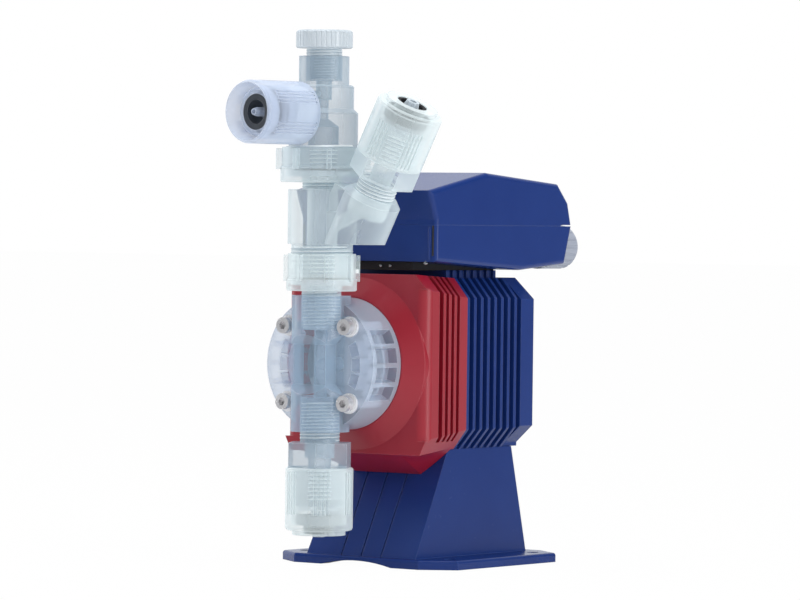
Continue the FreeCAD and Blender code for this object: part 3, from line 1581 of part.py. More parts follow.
def build_control_case():
    split = "dims.case_split"
    lower_points = [
        ("-dims.case_front", "dims.case_front_bottom"),
        ("-dims.case_front", split),
        ("dims.case_tail_y", split),
        ("dims.case_tail_bottom_y", "dims.case_tail_bottom"),
        ("dims.case_keel_y", "dims.case_keel_height"),
    ]
    upper_points = [
        ("-dims.case_front", split),
        ("-dims.case_front", "dims.case_step_height"),
        ("-dims.case_brow_front", "dims.case_brow_height"),
        ("-dims.case_peak_front", "dims.case_peak_height"),
        ("dims.case_rear_top_y", "dims.case_rear_top"),
        ("dims.case_shoulder_y", "dims.case_shoulder"),
        ("dims.case_tail_y", split),
    ]
    case_half("control_case", lower_points, "dims.panel_floor", f"{split} + 1", split)
    cover = case_half("control_cover", upper_points, f"{split} - 1", "dims.panel_head", split)
    slit = sketch_on(cover, offset=split)
    side = "dims.case_half_width + 1"
    rectangle(slit, f"-({side})", side, "dims.panel_y + 0.2", "dims.case_tail_y + 1")
    cover.Tip = extrude(cover, slit, "dims.case_slit", "Pocket", backward=True)

    gasket = new_body("case_gasket")
    wedge = sketch_on(gasket, "YZ_Plane")
    fall = "(dims.case_front_bottom - dims.case_keel_height) / (dims.case_front + dims.case_keel_y)"
    front = "dims.case_front - 3"
    outline(
        wedge,
        [
            (f"-({front})", "dims.neck_top"),
            ("dims.neck_rear", "dims.neck_top"),
            ("dims.neck_rear", f"dims.case_keel_height + {fall} * (dims.case_keel_y - dims.neck_rear)"),
            (f"-({front})", f"dims.case_front_bottom - {fall} * 3"),
        ],
    )
    gasket.Tip = extrude(gasket, wedge, "2 * dims.neck_half_width", middle=True)


def key_places():
    """The centre of each key, column by column."""
    places = []
    for column in (0, 1):
        for row in (0, 1):
            x = f"dims.key_first_x + {column} * dims.key_pitch"
            z = f"dims.key_row_z - {row} * dims.key_row_step"
            places.append((x, z))
    return places


def build_panel():
    rear_face = "dims.panel_y"
    inner = "dims.case_half_width - dims.cheek_thick - 0.1"
    panel = new_body("control_panel")
    face = sketch_on(panel, "XZ_Plane", f"-{rear_face}")
    rectangle(face, f"-({inner})", inner, "dims.panel_floor", "dims.panel_head")
    circle(face, "dims.knob_shaft_radius + dims.knob_shaft_play", "dims.knob_x", "dims.knob_height")
    circle(face, "dims.gland_thread_radius", "dims.gland_x", "dims.gland_z")
    circle(face, "dims.gland_thread_radius", "dims.socket_x", "dims.gland_z")
    half_width = "dims.display_width / 2"
    half_height = "dims.display_height / 2"
    display_sides = (
        f"dims.display_x - {half_width}",
        f"dims.display_x + {half_width}",
        f"dims.display_z - {half_height}",
        f"dims.display_z + {half_height}",
    )
    rectangle(face, *display_sides)
    hole_x = "dims.key_width / 2 + dims.key_gap"
    hole_z = "dims.key_height / 2 + dims.key_gap"
    for x, z in key_places():
        rectangle(face, f"{x} - ({hole_x})", f"{x} + {hole_x}", f"{z} - ({hole_z})", f"{z} + {hole_z}")
    panel.Tip = extrude(panel, face, "dims.panel_thick")

    window = new_body("display_window")
    pane = sketch_on(window, "XZ_Plane", f"-{rear_face}")
    rectangle(pane, *display_sides)
    window.Tip = extrude(window, pane, "dims.display_thick")

    board_front = "dims.panel_y - dims.panel_thick - dims.control_body_length"
    board = new_body("circuit_board")
    card = sketch_on(board, "XZ_Plane", f"-({board_front})")
    rectangle(card, f"-({inner} - 3)", f"{inner} - 3", "dims.panel_floor", "dims.panel_head - 3")
    board.Tip = extrude(board, card, "dims.board_thick")

    pad = new_body("key_switch_pad")
    keys_front = f"{rear_face} + dims.key_height_above - dims.key_length"
    pad_face = sketch_on(pad, "XZ_Plane", f"-({board_front})")
    rectangle(
        pad_face,
        "dims.key_first_x - dims.key_width / 2",
        "dims.key_first_x + dims.key_pitch + dims.key_width / 2",
        "dims.key_row_z - dims.key_row_step - dims.key_height / 2",
        "dims.key_row_z + dims.key_height / 2",
    )
    pad_length = f"{keys_front} - dims.key_travel - 0.1 - ({board_front})"
    pad.Tip = extrude(pad, pad_face, pad_length, backward=True)

    for number, (x, z) in enumerate(key_places(), start=1):
        key = new_body(f"key_{number}")
        cap = sketch_on(key, "XZ_Plane", f"-({rear_face} + dims.key_height_above)")
        half_x = "dims.key_width / 2"
        half_z = "dims.key_height / 2"
        rectangle(cap, f"{x} - {half_x}", f"{x} + {half_x}", f"{z} - {half_z}", f"{z} + {half_z}")
        key.Tip = extrude(key, cap, "dims.key_length")

    control = new_body("rate_control", x="dims.knob_x", y=board_front, z="dims.knob_height", roll="-90")
    turn(
        control,
        [
            ("dims.knob_shaft_radius - 1 + dims.knob_shaft_play", "0"),
            ("dims.control_body_radius", "0"),
            ("dims.control_body_radius", "dims.control_body_length"),
            ("dims.knob_shaft_radius + dims.knob_shaft_play", "dims.control_body_length"),
            ("dims.knob_shaft_radius + dims.knob_shaft_play", "dims.control_body_length / 2"),
            ("dims.knob_shaft_radius - 1 + dims.knob_shaft_play", "dims.control_body_length / 2"),
        ],
    )
    knob = new_body("rate_knob", x="dims.knob_x", y=rear_face, z="dims.knob_height", roll="-90")
    shaft_end = "-dims.panel_thick - dims.control_body_length / 2 + 0.2"
    turn(
        knob,
        [
            ("0", shaft_end),
            ("dims.knob_shaft_radius", shaft_end),
            ("dims.knob_shaft_radius", "dims.knob_gap"),
            ("dims.knob_radius", "dims.knob_gap"),
            ("dims.knob_radius", "dims.knob_length - 3"),
            ("dims.knob_radius - 1.2", "dims.knob_length - 1"),
            ("dims.knob_radius - 4", "dims.knob_length"),
            ("0", "dims.knob_length"),
        ],
    )
    flute = sketch_on(knob, offset="dims.knob_gap + 2")
    circle(flute, "dims.knob_flute_radius", "dims.knob_radius + dims.knob_flute_radius * 0.4", "0")
    ring_of(knob, extrude(knob, flute, "dims.knob_length", "Pocket", backward=True), 18)

    connectors = (
        ("power_gland", "dims.gland_x", "dims.gland_radius", "dims.gland_length", "dims.gland_bore_radius"),
        ("signal_socket", "dims.socket_x", "dims.socket_radius", "dims.socket_length", "dims.socket_bore_radius"),
    )
    for label, x, radius, length, bore in connectors:
        connector = new_body(label, x=x, y=rear_face, z="dims.gland_z", roll="-90")
        tail = "-dims.panel_thick - 2.5"
        turn(
            connector,
            [
                (bore, tail),
                ("dims.gland_thread_radius - 0.1", tail),
                ("dims.gland_thread_radius - 0.1", "0"),
                (radius, "0"),
                (radius, f"{length} * 0.45"),
                (f"{radius} - 1", f"{length} * 0.5"),
                (f"{radius} - 1", f"{length} - 1"),
                (f"{radius} - 2", length),
                (bore, length),
            ],
        )


def check_and_export():
    doc.recompute()
    failed = [item.Name for item in doc.Objects if {"Invalid", "Error"} & set(item.State)]
    assert not failed, f"objects that failed: {failed}"
    for piece in PIECES:
        shape = piece.Shape
        assert not shape.isNull() and shape.isValid(), f"bad shape: {piece.Label}"
    for piece in PIECES:
        piece.Shape.exportStep(f"parts/{piece.Label}.step")
        print(f"{piece.Label}: {len(piece.Shape.Solids)} solid, {piece.Shape.Volume:.0f} mm3")


build_base_stand()
build_solenoid_housing()
build_front_housing()
build_pump_head()
build_head_fasteners()
build_drive()
build_hose_fittings()
for side, bottom in (("suction", "dims.suction_valves_bottom"), ("discharge", "dims.head_top - dims.socket_depth")):
    build_valve(f"{side}_valve_lower", bottom, 0)
    build_valve(f"{side}_valve_upper", bottom, 1)
build_column()
build_control_case()
build_panel()
check_and_export()
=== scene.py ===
import bpy
import json
import math
from mathutils import Matrix, Vector


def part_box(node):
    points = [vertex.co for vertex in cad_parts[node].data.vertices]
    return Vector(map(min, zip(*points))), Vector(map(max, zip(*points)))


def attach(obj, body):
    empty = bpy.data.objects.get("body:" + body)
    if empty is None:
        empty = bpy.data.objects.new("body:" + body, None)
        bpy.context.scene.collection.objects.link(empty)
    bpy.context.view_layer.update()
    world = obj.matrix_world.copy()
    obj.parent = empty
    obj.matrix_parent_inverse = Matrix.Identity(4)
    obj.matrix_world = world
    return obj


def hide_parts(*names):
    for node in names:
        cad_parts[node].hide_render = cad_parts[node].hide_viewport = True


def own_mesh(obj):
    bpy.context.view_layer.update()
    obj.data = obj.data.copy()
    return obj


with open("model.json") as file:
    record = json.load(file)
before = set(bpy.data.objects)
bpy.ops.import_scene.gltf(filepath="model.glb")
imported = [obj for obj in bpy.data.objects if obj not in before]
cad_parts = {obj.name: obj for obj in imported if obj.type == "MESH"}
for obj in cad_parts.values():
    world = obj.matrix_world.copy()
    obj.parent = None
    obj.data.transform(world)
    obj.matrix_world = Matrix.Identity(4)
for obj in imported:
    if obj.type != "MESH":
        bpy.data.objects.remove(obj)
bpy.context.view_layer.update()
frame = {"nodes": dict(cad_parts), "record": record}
bpy.ops.object.select_all(action="DESELECT")

# Lengths are in metres, in the frame of the solids: x to the right, y to the rear, z up from the bench
COLUMN_REACH = 0.0896
OUTLET_TILT = math.radians(27.0)
VENT_SWING = math.radians(7.0)
VENT_START = 0.0186
QUARTER_TURN = math.radians(90)
SMOOTH_BELOW, BREAK_ABOVE = math.radians(35), math.radians(50)


# Wiring of the finishes

FIRST_VALUE, SECOND_VALUE, MIXED_VALUE = 2, 3, 0
FIRST_COLOUR, SECOND_COLOUR, MIXED_COLOUR = 6, 7, 2


def feed(tree, socket, value):
    """Wires a socket to another node's output, or sets its value."""
    if isinstance(value, bpy.types.NodeSocket):
        tree.links.new(value, socket)
    else:
        socket.default_value = value


def put(tree, kind, **settings):
    """Adds a node. Each setting names an input, with _ for a space, or a property of the node."""
    node = tree.nodes.new(kind)
    for name, value in settings.items():
        socket = node.inputs.get(name.replace("_", " "))
        if socket is None:
            setattr(node, name, value)
        else:
            feed(tree, socket, value)
    return node


def fed_in_order(tree, node, values):
    for socket, value in zip(node.inputs, values):
        feed(tree, socket, value)
    return node


def reckoned(tree, operation, *values, use_clamp=False):
    node = put(tree, "ShaderNodeMath", operation=operation, use_clamp=use_clamp)
    return fed_in_order(tree, node, values).outputs[0]


def reckoned_vector(tree, operation, *values):
    return fed_in_order(tree, put(tree, "ShaderNodeVectorMath", operation=operation), values)


def ranged(tree, value, low, high, to_low=0.0, to_high=1.0):
    span = put(tree, "ShaderNodeMapRange", Value=value, From_Min=low, From_Max=high, To_Min=to_low,
               To_Max=to_high)
    return span.outputs["Result"]


def mixed_colour(tree, share, first, second):
    mix = put(tree, "ShaderNodeMix", data_type="RGBA", Factor=share)
    feed(tree, mix.inputs[FIRST_COLOUR], first)
    feed(tree, mix.inputs[SECOND_COLOUR], second)
    return mix.outputs[MIXED_COLOUR]


def mixed_value(tree, share, first, second):
    mix = put(tree, "ShaderNodeMix", data_type="FLOAT", Factor=share)
    feed(tree, mix.inputs[FIRST_VALUE], first)
    feed(tree, mix.inputs[SECOND_VALUE], second)
    return mix.outputs[MIXED_VALUE]


# Shader groups that several finishes share

SURFACE_OUTPUTS = [("Color", "NodeSocketColor"), ("Roughness", "NodeSocketFloat"),
                   ("Height", "NodeSocketFloat")]


def surface_group(name, inputs):
    """A group that turns a place on the piece into a colour, a roughness and a height."""
    group = bpy.data.node_groups.new(name, "ShaderNodeTree")
    for label, kind, value in inputs:
        socket = group.interface.new_socket(label, in_out="INPUT", socket_type=kind)
        if value is not None:
            socket.default_value = value
    for label, kind in SURFACE_OUTPUTS:
        group.interface.new_socket(label, in_out="OUTPUT", socket_type=kind)
    return group, group.nodes.new("NodeGroupInput").outputs, group.nodes.new("NodeGroupOutput").inputs


def moulded_surface():
    """Fine spark-eroded texture, slow tone drift and small scuffs of a moulding."""
    group, given, result = surface_group("moulded surface", [
        ("Place", "NodeSocketVector", None), ("Grain Size", "NodeSocketFloat", 1400.0),
        ("Light Tone", "NodeSocketColor", (0.5, 0.5, 0.5, 1)),
        ("Dark Tone", "NodeSocketColor", (0.4, 0.4, 0.4, 1)),
        ("Smooth", "NodeSocketFloat", 0.3), ("Rough", "NodeSocketFloat", 0.4)])
    place = given["Place"]
    grain = put(group, "ShaderNodeTexNoise", Vector=place, Scale=given["Grain Size"], Detail=3.0,
                Roughness=0.6)
    drift = put(group, "ShaderNodeTexNoise", Vector=place, Scale=22.0, Detail=4.0, Roughness=0.55,
                Distortion=0.6)
    scuff = put(group, "ShaderNodeTexNoise", Vector=place, Scale=190.0, Detail=5.0, Roughness=0.75,
                Distortion=2.0)
    scuffed = ranged(group, scuff.outputs["Fac"], 0.66, 0.80)
    gloss = mixed_value(group, drift.outputs["Fac"], given["Smooth"], given["Rough"])
    feed(group, result["Color"],
         mixed_colour(group, drift.outputs["Fac"], given["Dark Tone"], given["Light Tone"]))
    feed(group, result["Roughness"], reckoned(group, "MULTIPLY_ADD", scuffed, 0.12, gloss))
    feed(group, result["Height"], grain.outputs["Fac"])
    return group


def turned_metal():
    """Fine turning marks round a bar part that lies front to back, with slow stains."""
    group, given, result = surface_group("turned metal", [
        ("Place", "NodeSocketVector", None), ("Light Tone", "NodeSocketColor", (0.7, 0.7, 0.7, 1)),
        ("Dark Tone", "NodeSocketColor", (0.5, 0.5, 0.5, 1)), ("Line Scale", "NodeSocketFloat", 900.0)])
    drawn_out = put(group, "ShaderNodeMapping", Vector=given["Place"], Scale=(0.25, 1.0, 0.25))
    lines = put(group, "ShaderNodeTexNoise", Vector=drawn_out.outputs["Vector"], Scale=given["Line Scale"],
                Detail=2.0)
    stain = put(group, "ShaderNodeTexNoise", Vector=given["Place"], Scale=120.0, Detail=4.0)
    feed(group, result["Color"],
         mixed_colour(group, stain.outputs["Fac"], given["Dark Tone"], given["Light Tone"]))
    feed(group, result["Roughness"], ranged(group, lines.outputs["Fac"], 0.0, 1.0, 0.16, 0.34))
    feed(group, result["Height"], lines.outputs["Fac"])
    return group


MOULDED = moulded_surface()
TURNED = turned_metal()


# Finishes, with the size of their grain, the depth of their relief and the width of their painted edge
# highlights

OPAQUE_GRAIN, FROSTED_GRAIN, RIDGE_GRAIN = 1400.0, 900.0, 2200.0
MOULDED_RELIEF, TURNED_RELIEF = 0.0002, 0.0001
OPAQUE_EDGE, FROSTED_EDGE, METAL_EDGE = 0.0006, 0.0005, 0.0003
# Tints of the painted highlights along the edges
FROSTED_HIGHLIGHT_TINT, METAL_HIGHLIGHT_TINT = (0.92, 0.96, 1.0), (0.9, 0.9, 0.9)
CORE_OUTSIDE, CORE_INSIDE = 0.0185, 0.0150
FLANK_FADE, DARK_FLANK = 0.35, (0.30, 0.39, 0.46, 1)


def start_finish(name):
    material = bpy.data.materials.new(name)
    material.use_nodes = True
    tree = material.node_tree
    return material, tree, tree.nodes["Principled BSDF"]


def object_place(tree):
    return tree.nodes.new("ShaderNodeTexCoord").outputs["Object"]


def surfaced(tree, group, light, dark, **values):
    return put(tree, "ShaderNodeGroup", node_tree=group, Place=object_place(tree), Light_Tone=(*light, 1),
               Dark_Tone=(*dark, 1), **values).outputs


def softened_edges(tree, radius):
    """Rounds the shading over sharp edges; also gives a mask of those edges."""
    rounded = put(tree, "ShaderNodeBevel", samples=4, Radius=radius).outputs["Normal"]
    sharp = tree.nodes.new("ShaderNodeNewGeometry").outputs["Normal"]
    agreement = reckoned_vector(tree, "DOT_PRODUCT", rounded, sharp).outputs["Value"]
    return rounded, ranged(tree, agreement, 0.985, 0.86)


def covered(tree, shader, surface, colour, mask, normal, highlight_tint, edge_highlight, bump, relief):
    """Gives the shader its colour with painted highlights along its edges, its gloss and its relief."""
    # Edges are mixed towards a lighter tint: a painted highlight along each edge
    painted_edge_highlight = reckoned(tree, "MULTIPLY", mask, edge_highlight)
    feed(tree, shader.inputs["Base Color"], mixed_colour(tree, painted_edge_highlight, colour, (*highlight_tint, 1)))
    feed(tree, shader.inputs["Roughness"], surface["Roughness"])
    raised = put(tree, "ShaderNodeBump", Strength=bump, Distance=relief, Height=surface["Height"],
                 Normal=normal)
    feed(tree, shader.inputs["Normal"], raised.outputs["Normal"])


def opaque_plastic(name, light, dark, smooth, rough, highlight_tint=(0.5, 0.5, 0.5), edge_highlight=0.10, shine=0.35):
    material, tree, shader = start_finish(name)
    surface = surfaced(tree, MOULDED, light, dark, Grain_Size=OPAQUE_GRAIN, Smooth=smooth, Rough=rough)
    normal, mask = softened_edges(tree, OPAQUE_EDGE)
    covered(tree, shader, surface, surface["Color"], mask, normal, highlight_tint, edge_highlight, 0.12, MOULDED_RELIEF)
    shader.inputs["Specular IOR Level"].default_value = shine
    return material


def deepened_core(tree, colour, core):
    """The colour, but in the deeper tone of the core within the thick column round the valve axis."""
    off_axis = reckoned_vector(tree, "MULTIPLY_ADD", object_place(tree), (1, 1, 0), (0, COLUMN_REACH, 0))
    reach = reckoned_vector(tree, "LENGTH", off_axis.outputs["Vector"]).outputs["Value"]
    return mixed_colour(tree, ranged(tree, reach, CORE_OUTSIDE, CORE_INSIDE), colour, (*core, 1))


def frosted_plastic(name, light, dark, middle, rim, smooth=0.16, rough=0.30, edge_highlight=0.30, glow=0.05,
                    edge_solid=0.45, core=None):
    """Milky see-through plastic: its sides let less through than its middle, as a thick wall does.

    The glow stands for the studio light that scatters inside the wall.
    """
    material, tree, shader = start_finish(name)
    surface = surfaced(tree, MOULDED, light, dark, Grain_Size=FROSTED_GRAIN, Smooth=smooth, Rough=rough)
    normal, mask = softened_edges(tree, FROSTED_EDGE)
    colour = deepened_core(tree, surface["Color"], core) if core else surface["Color"]
    covered(tree, shader, surface, colour, mask, normal, FROSTED_HIGHLIGHT_TINT, edge_highlight, 0.06, MOULDED_RELIEF)
    shader.inputs["Emission Color"].default_value = (*light, 1)
    shader.inputs["Emission Strength"].default_value = glow
    facing = put(tree, "ShaderNodeLayerWeight", Blend=0.35).outputs["Facing"]
    wall = ranged(tree, facing, 0.0, 1.0, middle, rim)
    feed(tree, shader.inputs["Alpha"], reckoned(tree, "MULTIPLY_ADD", mask, edge_solid, wall, use_clamp=True))
    return material


def bright_metal(name, light, dark, lines=900.0, bump=0.08, metallic=1.0):
    material, tree, shader = start_finish(name)
    surface = surfaced(tree, TURNED, light, dark, Line_Scale=lines)
    normal, mask = softened_edges(tree, METAL_EDGE)
    covered(tree, shader, surface, surface["Color"], mask, normal, METAL_HIGHLIGHT_TINT, 0.4, bump,
            TURNED_RELIEF)
    shader.inputs["Metallic"].default_value = metallic
    return material


def ridge_plastic(name, axis):
    """Thread ridges in clear plastic: the flank towards the light is bright and the other one dark."""
    material, tree, shader = start_finish(name)
    surface = surfaced(tree, MOULDED, (0.97, 1.0, 1.0), (0.90, 0.96, 0.98), Grain_Size=RIDGE_GRAIN,
                       Smooth=0.12, Rough=0.22)
    facing = tree.nodes.new("ShaderNodeTexCoord").outputs["Normal"]
    flank = reckoned_vector(tree, "DOT_PRODUCT", facing, axis).outputs["Value"]
    colour = mixed_colour(tree, ranged(tree, flank, -FLANK_FADE, FLANK_FADE), DARK_FLANK, surface["Color"])
    feed(tree, shader.inputs["Base Color"], colour)
    feed(tree, shader.inputs["Emission Color"], colour)
    feed(tree, shader.inputs["Roughness"], surface["Roughness"])
    # A faint glow in the ridges' own colour: painted light, as little studio light reaches them inside the
    # clear plastic
    shader.inputs["Emission Strength"].default_value = 0.12
    shader.inputs["Alpha"].default_value = 0.85
    return material


FINISHES = {
    "blue_housing": opaque_plastic("blue moulding", (0.012, 0.042, 0.21), (0.009, 0.031, 0.17), 0.20, 0.30,
                                   highlight_tint=(0.08, 0.14, 0.38), edge_highlight=0.35, shine=0.28),
    "red_housing": opaque_plastic("red coating", (0.38, 0.010, 0.027), (0.31, 0.008, 0.021), 0.30, 0.42,
                                  highlight_tint=(0.64, 0.12, 0.15), edge_highlight=0.5, shine=0.55),
    "frosted_fitting": frosted_plastic("frosted fitting", (0.80, 0.88, 0.94), (0.63, 0.74, 0.82), 0.28, 0.90,
                                       glow=0.11),
    "clear_head": frosted_plastic("clear head moulding", (0.65, 0.74, 0.88), (0.55, 0.65, 0.80), 0.32, 0.84,
                                  smooth=0.08, rough=0.18, edge_highlight=0.25, edge_solid=0.20,
                                  core=(0.36, 0.50, 0.64)),
    "stainless_bolt": bright_metal("stainless screw", (0.84, 0.83, 0.84), (0.66, 0.65, 0.66), metallic=0.60),
    "stainless_washer": bright_metal("stainless washer", (0.95, 0.95, 0.97), (0.88, 0.88, 0.90),
                                     metallic=0.40),
    "white_membrane": opaque_plastic("membrane facing", (0.62, 0.66, 0.70), (0.55, 0.60, 0.66), 0.3, 0.4),
    "ground_steel": bright_metal("ground steel", (0.62, 0.62, 0.62), (0.50, 0.50, 0.50)),
    "plated_iron": bright_metal("plated iron", (0.40, 0.40, 0.41), (0.30, 0.30, 0.31)),
    "bronze_bush": bright_metal("sintered bronze", (0.62, 0.42, 0.20), (0.50, 0.33, 0.15)),
    "spring_steel": bright_metal("spring wire", (0.52, 0.52, 0.52), (0.40, 0.40, 0.40)),
    "copper_winding": bright_metal("enamelled copper", (0.60, 0.27, 0.12), (0.45, 0.18, 0.08), lines=2500.0,
                                   bump=0.4),
    "black_polymer": opaque_plastic("black moulding", (0.020, 0.020, 0.022), (0.012, 0.012, 0.014), 0.34,
                                    0.46, highlight_tint=(0.10, 0.10, 0.11), edge_highlight=0.4),
    "black_rubber": opaque_plastic("black rubber", (0.016, 0.016, 0.019), (0.010, 0.010, 0.012), 0.55, 0.7,
                                   highlight_tint=(0.06, 0.06, 0.07), edge_highlight=0.3),
    "dark_panel": opaque_plastic("panel foil", (0.045, 0.052, 0.070), (0.036, 0.042, 0.058), 0.34, 0.42),
    "display_pane": opaque_plastic("display pane", (0.20, 0.24, 0.17), (0.16, 0.20, 0.14), 0.06, 0.10,
                                   shine=0.5),
    "board_laminate": opaque_plastic("circuit laminate", (0.02, 0.14, 0.06), (0.015, 0.10, 0.045), 0.3, 0.4),
    "grey_key": opaque_plastic("key moulding", (0.42, 0.44, 0.48), (0.36, 0.38, 0.42), 0.34, 0.44,
                               highlight_tint=(0.7, 0.72, 0.75), edge_highlight=0.4),
    "grey_knob": opaque_plastic("knob moulding", (0.40, 0.43, 0.50), (0.33, 0.36, 0.44), 0.30, 0.40,
                                highlight_tint=(0.62, 0.65, 0.72), edge_highlight=0.5),
    "grey_clamp": opaque_plastic("grey clamp", (0.34, 0.37, 0.40), (0.28, 0.31, 0.34), 0.3, 0.4),
    "dark_clamp": opaque_plastic("dark clamp", (0.060, 0.068, 0.080), (0.045, 0.052, 0.062), 0.3, 0.42,
                                 highlight_tint=(0.25, 0.27, 0.30), edge_highlight=0.5),
    "ceramic_ball": opaque_plastic("ceramic ball", (0.72, 0.74, 0.74), (0.66, 0.68, 0.68), 0.08, 0.14,
                                   shine=0.5),
}

# Copies of the frosted plastic with other tones, opacities and strengths of glow for groups of fittings; the
# brightly lit wall has the strongest glow, painted light that brightens the nuts and the vent plug
THIN_WALL = frosted_plastic("thin frosted wall", (0.68, 0.76, 0.90), (0.54, 0.62, 0.78), 0.28, 0.92, edge_highlight=0.5,
                            glow=0.07)
BRANCH_WALL = frosted_plastic("branch frosted wall", (0.78, 0.87, 0.89), (0.59, 0.69, 0.74), 0.30, 0.90,
                              glow=0.12, edge_solid=0.35)
BRIGHTLY_LIT_WALL = frosted_plastic("brightly lit frosted wall", (0.80, 0.88, 0.89), (0.66, 0.75, 0.77), 0.28, 0.88,
                             edge_highlight=0.12, glow=0.17, edge_solid=0.15)
KNOB_WALL = frosted_plastic("milky knob moulding", (0.70, 0.77, 0.82), (0.60, 0.67, 0.72), 0.62, 0.95,
                            edge_highlight=0.15, edge_solid=0.20)
DEEP_WALL = frosted_plastic("deep frosted wall", (0.48, 0.59, 0.68), (0.36, 0.47, 0.56), 0.34, 0.88,
                            edge_highlight=0.45)
WALLS = {
    "vent_nut": THIN_WALL, "vent_nozzle": THIN_WALL,
    "vent_knob": KNOB_WALL,
    "vent_body": DEEP_WALL, "suction_adapter": DEEP_WALL,
    "branch_body": BRANCH_WALL, "upper_union_nut": BRANCH_WALL, "discharge_adapter": BRANCH_WALL,
    "discharge_nut": BRIGHTLY_LIT_WALL, "lower_union_nut": BRIGHTLY_LIT_WALL, "suction_nut": BRIGHTLY_LIT_WALL,
    "vent_plug": BRIGHTLY_LIT_WALL,
}
slot_of = {entry["node"]: entry["material_slot"] for entry in frame["record"]["subparts"]}
for name, solid in frame["nodes"].items():
    solid.data.materials.clear()
    solid.data.materials.append(WALLS.get(name, FINISHES[slot_of[name]]))

# Finishes of the small pieces that the solids leave out
UPRIGHT_RIDGE = ridge_plastic("upright thread ridges", (0, 0, 1))
BRANCH_RIDGE = ridge_plastic("branch thread ridges", (math.sin(OUTLET_TILT), 0, math.cos(OUTLET_TILT)))
VENT_RIDGE = ridge_plastic("vent thread ridges", (-math.sin(VENT_SWING), -math.cos(VENT_SWING), 0))
WHITE_MARK = opaque_plastic("white marking", (0.80, 0.81, 0.82), (0.74, 0.75, 0.77), 0.35, 0.45)
DARK_MARK = opaque_plastic("dark marking", (0.02, 0.022, 0.03), (0.015, 0.017, 0.024), 0.35, 0.45)
GREEN_LAMP = opaque_plastic("green lamp", (0.03, 0.42, 0.10), (0.02, 0.34, 0.08), 0.08, 0.12, shine=0.6)
RED_LAMP = opaque_plastic("red lamp", (0.50, 0.02, 0.02), (0.42, 0.015, 0.015), 0.08, 0.12, shine=0.6)


# Shaping and placing

def at(across, along, up):
    return Matrix.Translation((across, along, up))


TO_REAR = Matrix.Rotation(-QUARTER_TURN, 4, "X")
TO_FRONT = Matrix.Rotation(QUARTER_TURN, 4, "X")


def seated(piece, where):
    """Moves a piece's mesh to its place, so that its object stays at the origin."""
    piece.matrix_world = where
    bpy.ops.object.select_all(action="DESELECT")
    piece.select_set(True)
    bpy.context.view_layer.objects.active = piece
    bpy.ops.object.transform_apply(location=True, rotation=True, scale=True)
    return piece


def repeated(pattern, places):
    """A piece at each place: the pattern at the first, and copies with their own meshes at the others."""
    pieces = [pattern]
    for _ in places[1:]:
        piece = pattern.copy()
        piece.data = pattern.data.copy()
        bpy.context.scene.collection.objects.link(piece)
        pieces.append(piece)
    return [seated(piece, where) for piece, where in zip(pieces, places)]


def dressed(piece, name, body, slot, finish=None):
    piece.name = name
    piece.data.materials.clear()
    piece.data.materials.append(finish or FINISHES[slot])
    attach(piece, body)
    piece.select_set(False)
    return piece


def smoothed():
    bpy.ops.object.shade_smooth_by_angle(angle=SMOOTH_BELOW)


def faces_outward():
    bpy.ops.mesh.select_all(action="SELECT")
    bpy.ops.mesh.normals_make_consistent(inside=False)
    bpy.ops.object.mode_set(mode="OBJECT")


def broken_edges(piece, width):
    breaking = piece.modifiers.new("broken edges", "BEVEL")
    breaking.width = width
    breaking.segments = 2
    breaking.limit_method = "ANGLE"
    breaking.angle_limit = BREAK_ABOVE
    bpy.ops.object.modifier_apply(modifier="broken edges")
    smoothed()


def block(size, edge):
    """A rectangular piece round its own middle, with its edges broken."""
    bpy.ops.mesh.primitive_cube_add(size=1.0)
    piece = seated(bpy.context.object, Matrix.Diagonal((*size, 1)))
    broken_edges(piece, edge)
    return piece


def pin(radius, length, edge, corners=48):
    """A round or many-sided pin that stands on its foot, with its edges broken."""
    bpy.ops.mesh.primitive_cylinder_add(vertices=corners, radius=radius, depth=length)
    piece = seated(bpy.context.object, at(0, 0, length / 2))
    broken_edges(piece, edge)
    return piece


def turned_ring(inner, outer, depth):
    """A flat-sided ring that hangs below its top face, with its edges broken."""
    bpy.ops.mesh.primitive_plane_add(size=1.0, rotation=(QUARTER_TURN, 0, 0))
    ring = bpy.context.object
    section = Matrix.Diagonal((outer - inner, 1, depth, 1))
    seated(ring, at((inner + outer) / 2, 0, -depth / 2) @ section @ ring.matrix_world)
    turning = ring.modifiers.new("turning", "SCREW")
    turning.steps = turning.render_steps = 64
    bpy.ops.object.modifier_apply(modifier="turning")
    bpy.ops.object.mode_set(mode="EDIT")
    bpy.ops.mesh.select_all(action="SELECT")
    bpy.ops.mesh.remove_doubles(threshold=0.000005)
    faces_outward()
    broken_edges(ring, 0.0002)
    return ring


def wound(section_radius, corners, coil_radius, start, pitch, turns):
    """A helix round its own upright axis, with closed ends."""
    bpy.ops.mesh.primitive_circle_add(vertices=corners, radius=section_radius, fill_type="NOTHING",
                                      rotation=(QUARTER_TURN, 0, 0))
    helix = bpy.context.object
    seated(helix, at(coil_radius, 0, start) @ helix.matrix_world)
    winding = helix.modifiers.new("winding", "SCREW")
    winding.screw_offset = pitch
    winding.iterations = turns
    winding.steps = winding.render_steps = 40
    bpy.ops.object.modifier_apply(modifier="winding")
    bpy.ops.object.mode_set(mode="EDIT")
    bpy.ops.mesh.select_all(action="DESELECT")
    bpy.ops.mesh.select_non_manifold()
    bpy.ops.mesh.fill()
    faces_outward()
    smoothed()
    return helix


# Threads that show through the clear plastic: radius of the spigot, lowest and highest turn, and pitch.
# A ridge is sized, and sunk in its spigot, by these shares of its pitch.

